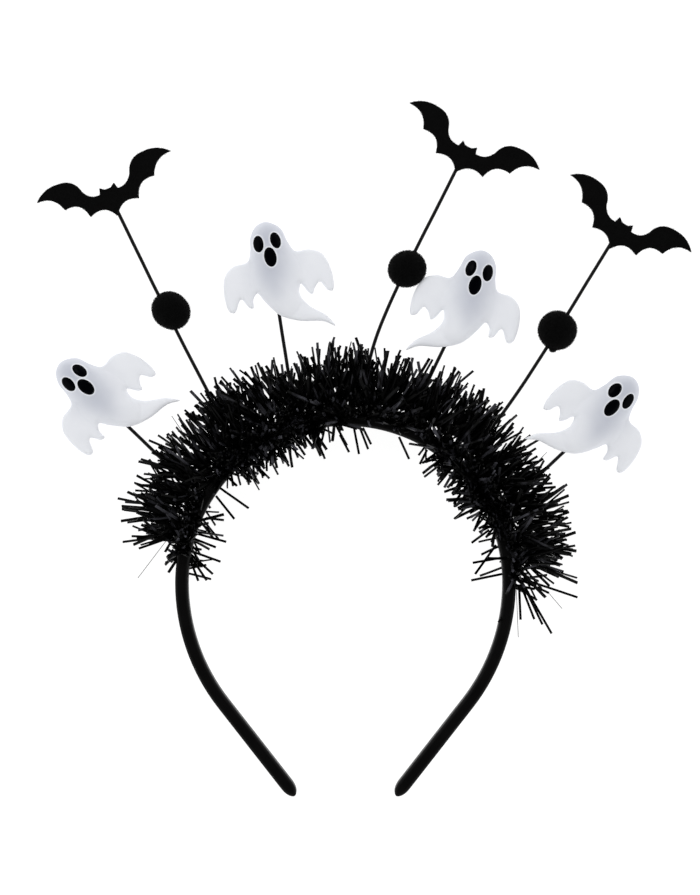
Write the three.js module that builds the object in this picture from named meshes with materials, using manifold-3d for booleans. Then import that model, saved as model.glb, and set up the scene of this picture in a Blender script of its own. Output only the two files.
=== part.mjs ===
// Halloween headband: a stiff horseshoe band with a tinsel garland, three bats and four ghosts
// on wire stems, and a pompom on each bat's stem.
// Units are millimetres. It lies flat: +Y runs from the arm tips to the crown and +Z is up.
// All places are measured from the centre of the crown's arch, at the middle of the band's width.

import * as THREE from 'three';
import { mergeVertices } from 'three/addons/utils/BufferGeometryUtils.js';
import Module from 'manifold-3d';

const wasm = await Module();
wasm.setup();

// Driving dimensions
const GAP = 0.3; // clearance between neighbouring pieces
const FLOOR = -16; // the surface it lies on, below the middle of the band

const BAND = {
  archRadius: 65.4, // centreline over the crown
  bendRadius: 78, // centreline where the arms turn inwards, straight below the arch
  bendAngle: 38, // degrees
  armLength: 44, // straight end of each arm
  thickness: 5.2,
  width: 9,
  edge: 1, // bevel of the long edges
  archSteps: 28,
  bendSteps: 6,
  tipSteps: 6,
};

const STEM = {
  radius: 0.71,
  sides: 8,
  socketDepth: 2.8, // how far the wire goes into the band
  hidden: 8, // length glued behind the figure
  bendSteps: 5, // sections along a bent wire
};

const TINSEL = {
  start: -86, // degrees along the arch from the crown, + to the right
  end: 94,
  steps: 26,
  backing: { out: 4.1, lip: -1.9, side: 6.1 }, // bar that the locks grow from
  rootOut: 3.1, // roots of the locks, inside the bar's outer wall
  rootSide: 5.3, // and inside its side walls
  reachOut: 31, // lock tips from the band's centreline, away from the head
  reachSide: 19, // lock tips above and below the band
  shortest: 0.8, // share of the full reach
  rings: 28, // rings of locks along the bar
  ringLocks: 5,
  outerFan: 100, // degrees each way from straight out
  innerLocks: 30,
  lean: 24, // degrees along the band, each way
  endLean: 46, // degrees that the last locks splay along the arm
  endShare: 0.05, // share of the garland whose locks splay
  lockWidth: 2.6,
  lockRoot: 1.5, // thickness where a lock leaves the bar
};

// Stretches of the garland whose strips also hang into the hoop, in degrees, and how deep
const INNER_STRETCHES = [
  { from: -85, to: -70, depth: 11 },
  { from: -47, to: -3, depth: 13 },
  { from: 36, to: 70, depth: 13 },
  { from: 84, to: 93, depth: 10 },
];

const POMPOM = { radius: 7.7, head: 6.5 }; // to the tips of its tufts, and to their roots

const BAT_THICKNESS = 2;

const GHOST = {
  sheet: 1.6, // thickness at the arms
  pocketFloor: 1.2, // pocket bottoms above the flat back
  proud: 0.35, // how far eyes and mouth stand out
  sliver: 0.02, // points of eyes and mouth closer than this are merged
  eyeSides: 10,
  domeSides: 12,
  domeRows: 6,
};

const LOOKS = {
  band: { color: 0x0c0c0e, roughness: 0.45 },
  tinsel: { color: 0x08080a, roughness: 0.3 },
  stem: { color: 0x0a0a0b, roughness: 0.5 },
  pompom: { color: 0x060607, roughness: 0.95 },
  bat: { color: 0x0b0b0c, roughness: 0.9 },
  ghost: { color: 0xdfe1ea, roughness: 0.6 },
  face: { color: 0x05070c, roughness: 0.15 },
};

// One half of a bat from its lowest point to the top of its head: each row is a corner, and
// bow is how far the edge to the next corner curves, to the left of its run when positive.
const BAT_CORNERS = [
  { x: 0, y: 0, bow: 2.5 },
  { x: 10.6, y: 3.4, bow: 2.6 },
  { x: 19.6, y: 9.6, bow: 2.2 },
  { x: 29.5, y: 16.3, bow: -1.4 },
  { x: 18.6, y: 20.2, bow: -1.9 },
  { x: 10.6, y: 14.0, bow: 1.3 },
  { x: 3.8, y: 10.2, bow: 0 },
  { x: 3.1, y: 12.7, bow: 0 },
  { x: 1.5, y: 11.5, bow: 0 },
  { x: 0, y: 11.4, bow: 0 },
];
const BOW_STEPS = 4;

// A ghost's outline, clockwise from the top of the head, from its mouth; the tail points to -x
const GHOST_OUTLINE = [
  { x: -1.0, y: 14.4 },
  { x: 3.2, y: 13.4 },
  { x: 6.2, y: 9.6 },
  { x: 7.5, y: 4.0 },
  { x: 9.4, y: 0.3 },
  { x: 15.6, y: -0.4 },
  { x: 19.6, y: -3.8 },
  { x: 21.4, y: -12.0 },
  { x: 20.5, y: -17.9 },
  { x: 18.6, y: -18.6 },
  { x: 15.0, y: -13.9 },
  { x: 12.5, y: -17.9 },
  { x: 10.9, y: -18.3 },
  { x: 10.2, y: -14.8 },
  { x: 8.2, y: -13.0 },
  { x: 5.9, y: -16.8 },
  { x: 1.0, y: -23.4 },
  { x: -6.5, y: -27.2 },
  { x: -15.2, y: -29.2 },
  { x: -19.6, y: -32.0 },
  { x: -17.0, y: -27.2 },
  { x: -10.7, y: -21.4 },
  { x: -8.4, y: -16.4 },
  { x: -9.6, y: -12.7 },
  { x: -12.0, y: -16.8 },
  { x: -13.4, y: -17.7 },
  { x: -14.8, y: -15.4 },
  { x: -17.2, y: -13.5 },
  { x: -19.6, y: -17.4 },
  { x: -21.6, y: -17.9 },
  { x: -22.8, y: -11.0 },
  { x: -20.4, y: -2.6 },
  { x: -15.8, y: 0.1 },
  { x: -10.2, y: 0.6 },
  { x: -8.0, y: 4.8 },
  { x: -6.2, y: 10.8 },
];

// Raised parts of a ghost: ellipsoids whose centres lie on its flat back
const GHOST_DOMES = [
  { x: -0.4, y: 3.6, rx: 7.0, ry: 10.4, rz: 5.6 },
  { x: -0.8, y: -9.5, rx: 8.4, ry: 13.0, rz: 4.6 },
];

// Eyes and mouth: middle, half sizes and turn in degrees
const GHOST_FACE = [
  { x: -3.4, y: 6.1, rx: 1.95, ry: 3.15, turn: -5 },
  { x: 3.6, y: 6.1, rx: 2.0, ry: 3.2, turn: 5 },
  { x: 0, y: 0, rx: 2.35, ry: 3.72, turn: 0 },
];

// Bats: lowest point, roll and turn in degrees; the stem leaves the arch at an angle from the
// crown, has a slight knee on its way and meets the bat's edge close to its lowest point
const BATS = [
  {
    name: 'left', at: [-90.8, 146.9], roll: 19.9, turn: -12,
    arch: -39.4, knee: [-68.0, 101.6], edge: [-90.4, 147.1], pompom: [-69.8, 108.9],
  },
  {
    name: 'middle', at: [43.9, 164.0], roll: -28.1, turn: -8,
    arch: 6.0, knee: [10.9, 94.0], edge: [43.7, 164.1], pompom: [24.7, 125.6],
  },
  {
    name: 'right', at: [105.4, 133.7], roll: -31.2, turn: 12,
    arch: 45.3, knee: [70.0, 78.0], edge: [104.9, 133.9], pompom: [84.8, 101.1],
  },
];

// Ghosts: mouth, roll and turn in degrees, side of the tail, where the stem leaves the arch and
// meets the ghost's edge, and how far the face was moulded off its place
const GHOSTS = [
  {
    name: 'ghost_1', at: [-103.3, 78.3], roll: 50.4, turn: 0, tail: 1,
    arch: -59.6, edge: [-87.0, 62.6], face: [0, 0],
  },
  {
    name: 'ghost_2', at: [-29.9, 130.0], roll: 12.2, turn: 0, tail: 1,
    arch: -17.3, edge: [-26.55, 107.5], face: [0, 0],
  },
  {
    name: 'ghost_3', at: [51.6, 118.8], roll: -15.5, turn: 0, tail: -1,
    arch: 21.0, edge: [39.6, 94.6], face: [0, 0],
  },
  {
    name: 'ghost_4', at: [106.2, 70.6], roll: -39.0, turn: 13, tail: -1,
    arch: 66.2, edge: [87.0, 52.2], face: [-0.9, -0.5],
  },
];

const DEG = Math.PI / 180;
const UP = new THREE.Vector3(0, 1, 0);

// Steps of an evenly spread sequence of number triples between 0 and 1
const SPREAD_STEPS = [0.8191725, 0.6710436, 0.5497005];
const spread = (index, column) => (index * SPREAD_STEPS[column]) % 1;
const swing = (index, column) => 2 * spread(index, column) - 1;

// Solids and meshes

function solidOf(geometry) {
  const bare = geometry.clone();
  bare.deleteAttribute('normal');
  bare.deleteAttribute('uv');
  const merged = mergeVertices(bare);
  const vertProperties = new Float32Array(merged.attributes.position.array);
  const triVerts = new Uint32Array(merged.index.array);
  return new wasm.Manifold(new wasm.Mesh({ numProp: 3, vertProperties, triVerts }));
}

function geometryOf(solid) {
  const { vertProperties, triVerts } = solid.getMesh();
  const geometry = new THREE.BufferGeometry();
  geometry.setAttribute('position', new THREE.BufferAttribute(vertProperties, 3));
  geometry.setIndex(new THREE.BufferAttribute(triVerts, 1));
  geometry.computeVertexNormals();
  return geometry;
}

const join = (solids) => wasm.Manifold.union(solids);

function largestPiece(solid) {
  const pieces = solid.decompose();
  return pieces.reduce((best, piece) => (piece.volume() > best.volume() ? piece : best));
}

function namedMesh(name, solid, look) {
  const material = new THREE.MeshStandardMaterial({ ...look, metalness: 0 });
  const mesh = new THREE.Mesh(geometryOf(solid), material);
  mesh.name = name;
  return mesh;
}

// Band

function arcPoints(x, y, radius, fromDegrees, toDegrees, steps) {
  const points = [];
  for (let i = 0; i <= steps; i += 1) {
    const angle = (fromDegrees + ((toDegrees - fromDegrees) * i) / steps) * DEG;
    points.push(new THREE.Vector2(x + radius * Math.cos(angle), y + radius * Math.sin(angle)));
  }
  return points;
}

function bandOutline(half) {
  const { archRadius, bendRadius, bendAngle, armLength } = BAND;
  const { archSteps, bendSteps, tipSteps } = BAND;
  const bendX = archRadius - bendRadius;
  const tipX = bendX + bendRadius * Math.cos(bendAngle * DEG) - armLength * Math.sin(bendAngle * DEG);
  const tipY = -bendRadius * Math.sin(bendAngle * DEG) - armLength * Math.cos(bendAngle * DEG);
  const outer = bendRadius + half;
  const inner = bendRadius - half;
  return [
    ...arcPoints(0, 0, archRadius + half, 0, 180, archSteps),
    ...arcPoints(-bendX, 0, outer, 180, 180 + bendAngle, bendSteps).slice(1),
    ...arcPoints(-tipX, tipY, half, 180 + bendAngle, 360 + bendAngle, tipSteps),
    ...arcPoints(-bendX, 0, inner, 180 + bendAngle, 180, bendSteps).slice(0, -1),
    ...arcPoints(0, 0, archRadius - half, 180, 0, archSteps),
    ...arcPoints(bendX, 0, inner, 0, -bendAngle, bendSteps).slice(1),
    ...arcPoints(tipX, tipY, half, 180 - bendAngle, 360 - bendAngle, tipSteps),
    ...arcPoints(bendX, 0, outer, -bendAngle, 0, bendSteps).slice(0, -1),
  ];
}

function bandBlock(extra) {
  const { thickness, width, edge } = BAND;
  const depth = width + 2 * extra - 2 * edge;
  const geometry = new THREE.ExtrudeGeometry(new THREE.Shape(bandOutline(thickness / 2 + extra)), {
    depth,
    bevelThickness: edge,
    bevelSize: edge,
    bevelOffset: -edge,
    bevelSegments: 1,
  });
  geometry.translate(0, 0, -depth / 2);
  return solidOf(geometry);
}

function archPoint(degrees, offset = 0) {
  const radius = BAND.archRadius + offset;
  return new THREE.Vector3(radius * Math.sin(degrees * DEG), radius * Math.cos(degrees * DEG), 0);
}

// Stems: the wire's middle line runs in the plane of the band

function stemPoints(row, spare) {
  const seat = archPoint(row.arch, BAND.thickness / 2 - STEM.socketDepth);
  const edge = new THREE.Vector3(...row.edge, 0);
  const knee = row.knee ? new THREE.Vector3(...row.knee, 0) : null;
  const last = edge.clone().sub(knee ?? seat).normalize();
  const first = (knee ?? edge).clone().sub(seat).normalize();
  const end = edge.clone().addScaledVector(last, STEM.hidden);
  seat.addScaledVector(first, -spare);
  return knee ? [seat, knee, end] : [seat, end];
}

function stemSolid(row, spare) {
  const points = stemPoints(row, spare);
  const bent = points.length > 2;
  const extrudePath = bent ? new THREE.CatmullRomCurve3(points) : new THREE.LineCurve3(...points);
  const section = new THREE.Shape(arcPoints(0, 0, STEM.radius + spare, 0, 360, STEM.sides).slice(0, -1));
  const steps = bent ? STEM.bendSteps : 1;
  return solidOf(new THREE.ExtrudeGeometry(section, { steps, extrudePath, bevelEnabled: false }));
}

// A lock is a flat strip of even width that thins to an edge at its tip

function lockSolid(root, tip, twist) {
  const { lockWidth, lockRoot } = TINSEL;
  const along = tip.clone().sub(root);
  const side = new THREE.Shape([
    new THREE.Vector2(-lockRoot / 2, 0),
    new THREE.Vector2(lockRoot / 2, 0),
    new THREE.Vector2(0, along.length()),
  ]);
  const strip = new THREE.ExtrudeGeometry(side, { depth: lockWidth, bevelEnabled: false });
  strip.translate(0, 0, -lockWidth / 2);
  strip.rotateY(twist);
  strip.applyQuaternion(new THREE.Quaternion().setFromUnitVectors(UP, along.normalize()));
  strip.translate(...root);
  return solidOf(strip);
}

// Tinsel: a bar along the arch with locks all round, from which the band and stems are cut

function tinselBacking() {
  const { start, end, steps, backing } = TINSEL;
  const points = [];
  for (let i = 0; i <= steps; i += 1) {
    points.push(archPoint(start + ((end - start) * i) / steps));
  }
  const section = new THREE.Shape([
    new THREE.Vector2(-backing.side, backing.lip),
    new THREE.Vector2(backing.side, backing.lip),
    new THREE.Vector2(backing.side, BAND.thickness / 2),
    new THREE.Vector2(BAND.width / 2, backing.out),
    new THREE.Vector2(-BAND.width / 2, backing.out),
    new THREE.Vector2(-backing.side, BAND.thickness / 2),
  ]);
  const extrudePath = new THREE.CatmullRomCurve3(points);
  return solidOf(new THREE.ExtrudeGeometry(section, { steps, extrudePath, bevelEnabled: false }));
}

function lockLean(share, index) {
  const { lean, endLean, endShare } = TINSEL;
  if (share < endShare) {
    return -endLean * spread(index, 1);
  }
  if (share > 1 - endShare) {
    return endLean * spread(index, 1);
  }
  return lean * swing(index, 1);
}

function lockTip(degrees, out, up, lean) {
  const run = new THREE.Vector3(Math.cos(degrees * DEG), -Math.sin(degrees * DEG), 0);
  const tip = archPoint(degrees, out);
  tip.z = up;
  return tip.addScaledVector(run, Math.hypot(out, up) * Math.tan(lean * DEG));
}

function outerLock(ring, slot) {
  const { start, end, rings, ringLocks, outerFan, reachOut, reachSide, shortest } = TINSEL;
  const { rootOut, rootSide } = TINSEL;
  const index = ring * ringLocks + slot;
  const share = (ring + 0.5) / rings;
  const degrees = start + (end - start) * share;
  const stagger = ring % 2 === 0 ? 0.25 : 0.75;
  const fan = outerFan * ((2 * (slot + stagger)) / ringLocks - 1) * DEG;
  const reach = shortest + (1 - shortest) * spread(index, 2);
  const out = reachOut * reach * Math.cos(fan);
  const up = reachSide * reach * Math.sin(fan);
  const inward = Math.min(rootOut / Math.abs(out), rootSide / Math.abs(up));
  const root = lockTip(degrees, inward * out, inward * up, 0);
  const tip = lockTip(degrees, out, up, lockLean(share, index));
  return lockSolid(root, tip, Math.PI * spread(index, 0));
}

function innerLocks() {
  const { innerLocks: count, rootSide, lean, shortest } = TINSEL;
  const total = INNER_STRETCHES.reduce((sum, stretch) => sum + stretch.to - stretch.from, 0);
  const locks = [];
  for (const { from, to, depth } of INNER_STRETCHES) {
    const share = Math.round((count * (to - from)) / total);
    for (let i = 0; i < share; i += 1) {
      const degrees = from + ((to - from) * (i + 0.5)) / share;
      const side = i % 2 === 0 ? 1 : -1;
      const root = lockTip(degrees, 0, side * rootSide, 0);
      const out = -BAND.thickness / 2 - depth * (shortest + (1 - shortest) * spread(i, 2));
      const tip = lockTip(degrees, out, side * 2 * rootSide * spread(i, 0), lean * swing(i, 1));
      locks.push(lockSolid(root, tip, Math.PI * spread(i, 1)));
    }
  }
  return locks;
}

function tinselSolid(cuts) {
  const locks = innerLocks();
  for (let ring = 0; ring < TINSEL.rings; ring += 1) {
    for (let slot = 0; slot < TINSEL.ringLocks; slot += 1) {
      locks.push(outerLock(ring, slot));
    }
  }
  const size = 4 * BAND.archRadius;
  const ground = new THREE.BoxGeometry(size, size, size);
  ground.translate(0, 0, FLOOR - size / 2);
  const garland = join([tinselBacking(), ...locks]);
  return largestPiece(garland.subtract(join([bandBlock(GAP), solidOf(ground), ...cuts])));
}

// Pompoms: a ball whose facets each rise to a tuft, bored for the stem

function pompomSolid(row) {
  const { radius, head } = POMPOM;
  const ball = new THREE.IcosahedronGeometry(head, 1).attributes.position;
  const corners = [];
  for (let i = 0; i < ball.count; i += 3) {
    const [a, b, c] = [0, 1, 2].map((k) => new THREE.Vector3().fromBufferAttribute(ball, i + k));
    const tip = a.clone().add(b).add(c).setLength(radius);
    corners.push(a, b, tip, b, c, tip, c, a, tip);
  }
  const tufts = new THREE.BufferGeometry().setFromPoints(corners);
  tufts.translate(...row.pompom, 0);
  return largestPiece(solidOf(tufts).subtract(stemSolid(row, GAP)));
}

// Bats: a flat outline with bowed edges

function bowedEdge(from, to, bow) {
  const run = to.clone().sub(from);
  const left = new THREE.Vector2(-run.y, run.x).normalize();
  const control = from.clone().addScaledVector(run, 0.5).addScaledVector(left, 2 * bow);
  const steps = bow === 0 ? 1 : BOW_STEPS;
  return new THREE.QuadraticBezierCurve(from, control, to).getPoints(steps).slice(0, -1);
}

function batSolid() {
  const corners = BAT_CORNERS.map(({ x, y }) => new THREE.Vector2(x, y));
  const half = [];
  for (let i = 0; i + 1 < corners.length; i += 1) {
    half.push(...bowedEdge(corners[i], corners[i + 1], BAT_CORNERS[i].bow));
  }
  const other = half.slice(1).map((point) => new THREE.Vector2(-point.x, point.y));
  const top = corners[corners.length - 1];
  const outline = new THREE.Shape([...half, top, ...other.reverse()]);
  return solidOf(new THREE.ExtrudeGeometry(outline, { depth: BAT_THICKNESS, bevelEnabled: false }));
}

// Ghosts: a thin outline with raised head and body, and pockets for the face

function ghostSheet(tail) {
  const corners = GHOST_OUTLINE.map(({ x, y }) => new THREE.Vector3(-tail * x, y, 0));
  const curve = new THREE.CatmullRomCurve3(corners, true);
  const outline = curve.getPoints(2 * corners.length).slice(0, -1);
  const shape = new THREE.Shape(outline.map(({ x, y }) => new THREE.Vector2(x, y)));
  return solidOf(new THREE.ExtrudeGeometry(shape, { depth: GHOST.sheet, bevelEnabled: false }));
}

function ghostDomes(tail, extra) {
  return join(GHOST_DOMES.map(({ x, y, rx, ry, rz }) => {
    const ball = new THREE.SphereGeometry(1, GHOST.domeSides, GHOST.domeRows);
    ball.rotateX(Math.PI / 2);
    ball.scale(rx + extra, ry + extra, rz + extra);
    ball.translate(-tail * x, y, 0);
    return solidOf(ball);
  }));
}

function faceOvals({ tail, face }) {
  return GHOST_FACE.map(({ x, y, rx, ry, turn }) => ({
    x: face[0] - tail * x, y: face[1] + y, rx, ry, turn: -tail * turn,
  }));
}

function ghostPlug({ x, y, rx, ry, turn }, extra, bottom) {
  const tall = 12;
  const plug = new THREE.CylinderGeometry(1, 1, tall, GHOST.eyeSides);
  plug.rotateX(Math.PI / 2);
  plug.scale(rx + extra, ry + extra, 1);
  plug.rotateZ(turn * DEG);
  plug.translate(x, y, bottom + tall / 2);
  return solidOf(plug);
}

function ghostSolids(row) {
  const { pocketFloor, proud } = GHOST;
  const ovals = faceOvals(row);
  const span = 100;
  const behind = new THREE.BoxGeometry(span, span, span);
  behind.translate(0, 0, -span / 2);
  const pockets = ovals.map((oval) => ghostPlug(oval, GAP, pocketFloor));
  const body = join([ghostSheet(row.tail), ghostDomes(row.tail, 0)]);
  const cut = join([solidOf(behind), ...pockets]);
  const skin = ghostDomes(row.tail, proud);
  const face = ovals.map((oval) => (
    ghostPlug(oval, 0, pocketFloor + GAP).intersect(skin).simplify(GHOST.sliver)
  ));
  return { body: largestPiece(body.subtract(cut)), face };
}

function faceName({ x }, tail) {
  if (x === 0) {
    return 'mouth';
  }
  return -tail * x < 0 ? 'eye_left' : 'eye_right';
}

// A figure stands over its stem: rolled in the plane of the band, turned about its own upright
// line and lifted so that its flat back clears the hidden end of the wire

function figureGroup(row, meshes) {
  const roll = row.roll * DEG;
  const turn = row.turn * DEG;
  const hiddenWire = [new THREE.Vector3(...row.edge, 0), stemPoints(row, 0).at(-1)];
  const lifts = hiddenWire.map(({ x, y }) => {
    const sideways = (x - row.at[0]) * Math.cos(roll) + (y - row.at[1]) * Math.sin(roll);
    return sideways * Math.sin(turn);
  });
  const turned = new THREE.Group();
  turned.rotation.y = turn;
  turned.add(...meshes);
  const figure = new THREE.Group();
  figure.rotation.z = roll;
  figure.position.set(...row.at, STEM.radius + GAP + Math.max(...lifts));
  figure.add(turned);
  return figure;
}

// Assembly

const headband = new THREE.Group();
const stemRows = [
  ...BATS.map((row) => ({ ...row, stemName: `bat_${row.name}_stem` })),
  ...GHOSTS.map((row) => ({ ...row, stemName: `${row.name}_stem` })),
];
const stemCuts = stemRows.map((row) => stemSolid(row, GAP));

headband.add(namedMesh('band', bandBlock(0).subtract(join(stemCuts)), LOOKS.band));
headband.add(namedMesh('tinsel', tinselSolid(stemCuts), LOOKS.tinsel));

for (const row of stemRows) {
  headband.add(namedMesh(row.stemName, stemSolid(row, 0), LOOKS.stem));
}

for (const row of BATS) {
  headband.add(namedMesh(`pompom_${row.name}`, pompomSolid(row), LOOKS.pompom));
  headband.add(figureGroup(row, [namedMesh(`bat_${row.name}`, batSolid(), LOOKS.bat)]));
}

for (const row of GHOSTS) {
  const { body, face } = ghostSolids(row);
  const meshes = [namedMesh(row.name, body, LOOKS.ghost)];
  GHOST_FACE.forEach((oval, index) => {
    meshes.push(namedMesh(`${row.name}_${faceName(oval, row.tail)}`, face[index], LOOKS.face));
  });
  headband.add(figureGroup(row, meshes));
}

// Origin: on the surface, below the middle of the whole headband
const box = new THREE.Box3().setFromObject(headband, true);
const middle = box.getCenter(new THREE.Vector3());
headband.position.set(-middle.x, -middle.y, -box.min.z);
headband.updateMatrixWorld(true);

export default headband;
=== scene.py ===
# %% [markdown]
# # A halloween headband
# A stiff black hoop carries a tinsel garland over its crown. Three felt bats and four white foam
# ghosts stand above it on black wire, and each bat's wire has a pompom on it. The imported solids
# are the frame: this file dresses each of them and never moves or resizes one.

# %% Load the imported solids
import math

import bmesh
import bpy
import numpy as np
from mathutils import Matrix, Vector
from mathutils.geometry import delaunay_2d_cdt


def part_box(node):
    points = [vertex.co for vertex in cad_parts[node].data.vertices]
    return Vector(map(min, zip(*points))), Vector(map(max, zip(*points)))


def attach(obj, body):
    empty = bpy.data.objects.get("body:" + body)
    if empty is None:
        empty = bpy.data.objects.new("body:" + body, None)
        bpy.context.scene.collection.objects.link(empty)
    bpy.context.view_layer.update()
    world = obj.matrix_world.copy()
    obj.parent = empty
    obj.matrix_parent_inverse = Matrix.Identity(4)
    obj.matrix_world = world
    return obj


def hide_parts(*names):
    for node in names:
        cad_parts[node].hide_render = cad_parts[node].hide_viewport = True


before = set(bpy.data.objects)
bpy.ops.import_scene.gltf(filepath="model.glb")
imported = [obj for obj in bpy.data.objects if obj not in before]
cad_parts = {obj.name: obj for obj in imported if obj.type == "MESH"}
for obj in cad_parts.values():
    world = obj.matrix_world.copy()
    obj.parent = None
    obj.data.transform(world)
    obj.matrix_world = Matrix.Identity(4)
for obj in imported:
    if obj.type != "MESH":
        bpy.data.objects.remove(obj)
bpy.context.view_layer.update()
BODY = "root"
MM = 0.001
print(len(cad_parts), "solids loaded")

# %% [markdown]
# ## One place to measure from
# Every size below is in millimetres from the centre of the crown's arch, at the middle of the
# band's width. That point comes from the band's own box, so the dressing follows the solids.

# %% Find the centre of the arch
ARCH_RADIUS = 65.4
BAND_THICKNESS = 5.2
BAND_WIDTH = 9.0
FLOOR = -16.0

band_low, band_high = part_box("band")
ARCH_CENTRE = Vector((
    (band_low.x + band_high.x) / 2,
    band_high.y - (ARCH_RADIUS + BAND_THICKNESS / 2) * MM,
    (band_low.z + band_high.z) / 2,
))
TO_FRAME = Matrix.Translation(ARCH_CENTRE) @ Matrix.Scale(MM, 4)
print("arch centre", [round(x / MM, 2) for x in ARCH_CENTRE], "mm")


def arch_point(degrees, out=0.0):
    """A point over the crown: degrees from the top, out from the band's middle line."""
    turn = math.radians(degrees)
    return Vector((math.sin(turn), math.cos(turn), 0.0)) * (ARCH_RADIUS + out)


# %% [markdown]
# ## Finishes
# Six finishes are black and one is white, so what tells them apart is gloss and grain. Patterns
# read Object coordinates in metres, and each scale is worked out from a size in millimetres. One
# function adds a node, sets it and links it, here and later for geometry.

# %% Add nodes
def feed(tree, node, inputs):
    """Gives each named or numbered input a value, or a link from a socket, a node or a list."""
    for key, value in inputs.items():
        if isinstance(key, int):
            socket = node.inputs[key]
        else:
            socket = next(s for s in node.inputs if s.name == key and s.enabled)
        for source in value if isinstance(value, list) else [value]:
            if isinstance(source, bpy.types.Node):
                source = next(s for s in source.outputs if s.enabled)
            if isinstance(source, bpy.types.NodeSocket):
                tree.links.new(source, socket)
            else:
                socket.default_value = source


def add(tree, kind, inputs=None, **settings):
    """A new node: settings are its own choices, and inputs are fed as above."""
    node = tree.nodes.new(kind)
    for key, value in settings.items():
        setattr(node, key, value)
    feed(tree, node, inputs or {})
    return node


# %% Helpers for the finishes
def srgb(code):
    """A hex colour as linear red, green, blue and alpha."""
    parts = [int(code[i:i + 2], 16) / 255 for i in (1, 3, 5)]
    return tuple(c / 12.92 if c <= 0.04045 else ((c + 0.055) / 1.055) ** 2.4 for c in parts) + (1.0,)


def per_mm(size):
    """The scale that makes a pattern repeat about every size millimetres."""
    return 1 / (size * MM)


def new_finish(name, **sockets):
    """A material with its Principled node, and the Object coordinates it reads."""
    material = bpy.data.materials.new(name)
    material.use_nodes = True
    tree = material.node_tree
    shader = tree.nodes["Principled BSDF"]
    feed(tree, shader, {label.replace("_", " "): value for label, value in sockets.items()})
    print("finish", name)
    return material, tree, shader, add(tree, "ShaderNodeTexCoord").outputs["Object"]


def mottled_finish(name, tones, patch, gloss=None, grain=None, **sockets):
    """A finish whose tone drifts between two colours.

    patch is the drift's size and detail, gloss its lowest and highest roughness, and grain the
    size, detail, strength and depth of a bump.
    """
    material, tree, shader, where = new_finish(name, **sockets)
    cloud = add(tree, "ShaderNodeTexNoise",
                {"Vector": where, "Scale": per_mm(patch[0]), "Detail": patch[1]})
    tone = add(tree, "ShaderNodeMix", {"Factor": cloud, "A": srgb(tones[0]), "B": srgb(tones[1])},
               data_type="RGBA")
    feed(tree, shader, {"Base Color": tone})
    if gloss:
        rough = add(tree, "ShaderNodeMapRange", {"Value": cloud, "To Min": gloss[0], "To Max": gloss[1]})
        feed(tree, shader, {"Roughness": rough})
    if grain:
        size, detail, strength, depth = grain
        bumps = add(tree, "ShaderNodeTexNoise", {"Vector": where, "Scale": per_mm(size), "Detail": detail})
        bump = add(tree, "ShaderNodeBump", {"Height": bumps, "Strength": strength, "Distance": depth * MM})
        feed(tree, shader, {"Normal": bump})
    return material


print("a pattern of 9 mm has the scale", round(per_mm(9), 1))

# %% [markdown]
# ### Band: moulded polypropylene
# A cheap hoop is moulded in black polypropylene. Its skin is satin with a very fine grain from
# the mould, so it gives a soft grey sheen along its edges and no mirror image.

# %% Band finish
# Satin black. The mould's own grain is near 0.05 mm, too fine to show, so it is drawn at 0.35 mm.
BAND_BLACK = mottled_finish(
    "moulded_polypropylene_black", ("#020202", "#060505"), patch=(9, 3.0), gloss=(0.36, 0.52),
    grain=(0.35, 2.0, 0.12, 0.05), IOR=1.49, Specular_IOR_Level=0.1)

# %% [markdown]
# ### Tinsel: cut polyvinyl chloride film
# The strips are cut from calendered black film. It is smooth and glossy, so a strip is black
# until it turns towards a light. Each strip carries its own number, which varies its gloss and,
# in patches on high-numbered strips, paints a grey glint into its colour.

# %% Tinsel finish
# Deep black, with a painted grey glint mixed into the colour in patches on the strips whose number is high
def tinsel_finish():
    material, tree, shader, where = new_finish("cut_vinyl_film_black", IOR=1.5, Specular_IOR_Level=0.06)
    own = add(tree, "ShaderNodeAttribute", attribute_name="own").outputs["Fac"]
    turned = add(tree, "ShaderNodeMapRange", {"Value": own, "From Min": 0.62})
    patch = add(tree, "ShaderNodeTexNoise", {"Vector": where, "Scale": per_mm(6), "Detail": 1.0})
    glint_patch = add(tree, "ShaderNodeMapRange", {"Value": patch, "From Min": 0.45, "From Max": 0.62})
    # Painted glint: the share of grey mixed into the film's colour, in patches on high-numbered strips
    painted_glint = add(tree, "ShaderNodeMath", {0: turned, 1: glint_patch}, operation="MULTIPLY")
    tone = add(tree, "ShaderNodeMix", {"Factor": painted_glint, "A": srgb("#010101"), "B": srgb("#47474d")},
               data_type="RGBA")
    gloss = add(tree, "ShaderNodeMapRange", {"Value": own, "To Min": 0.4, "To Max": 0.2})
    ripple = add(tree, "ShaderNodeTexNoise", {"Vector": where, "Scale": per_mm(2.5), "Detail": 1.0})
    bump = add(tree, "ShaderNodeBump", {"Height": ripple, "Strength": 0.25, "Distance": 0.1 * MM})
    feed(tree, shader, {"Base Color": tone, "Roughness": gloss, "Normal": bump})
    return material


FILM_BLACK = tinsel_finish()

# %% [markdown]
# ### Wire, pompoms and felt
# The wire is iron in a thin black lacquer. The pompoms are loose acrylic fibre and the bats are
# pressed felt: both drink in light, so they are rough all over, with a little sheen from fibre
# ends and a mottled tone.

# %% Wire, pompom and felt finishes
# Half glossy, and a little uneven where the lacquer ran
WIRE_BLACK = mottled_finish(
    "lacquered_wire_black", ("#020202", "#060606"), patch=(1.5, 2.0), gloss=(0.32, 0.5),
    grain=(1.5, 2.0, 0.2, 0.05), IOR=1.5, Specular_IOR_Level=0.15)
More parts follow.
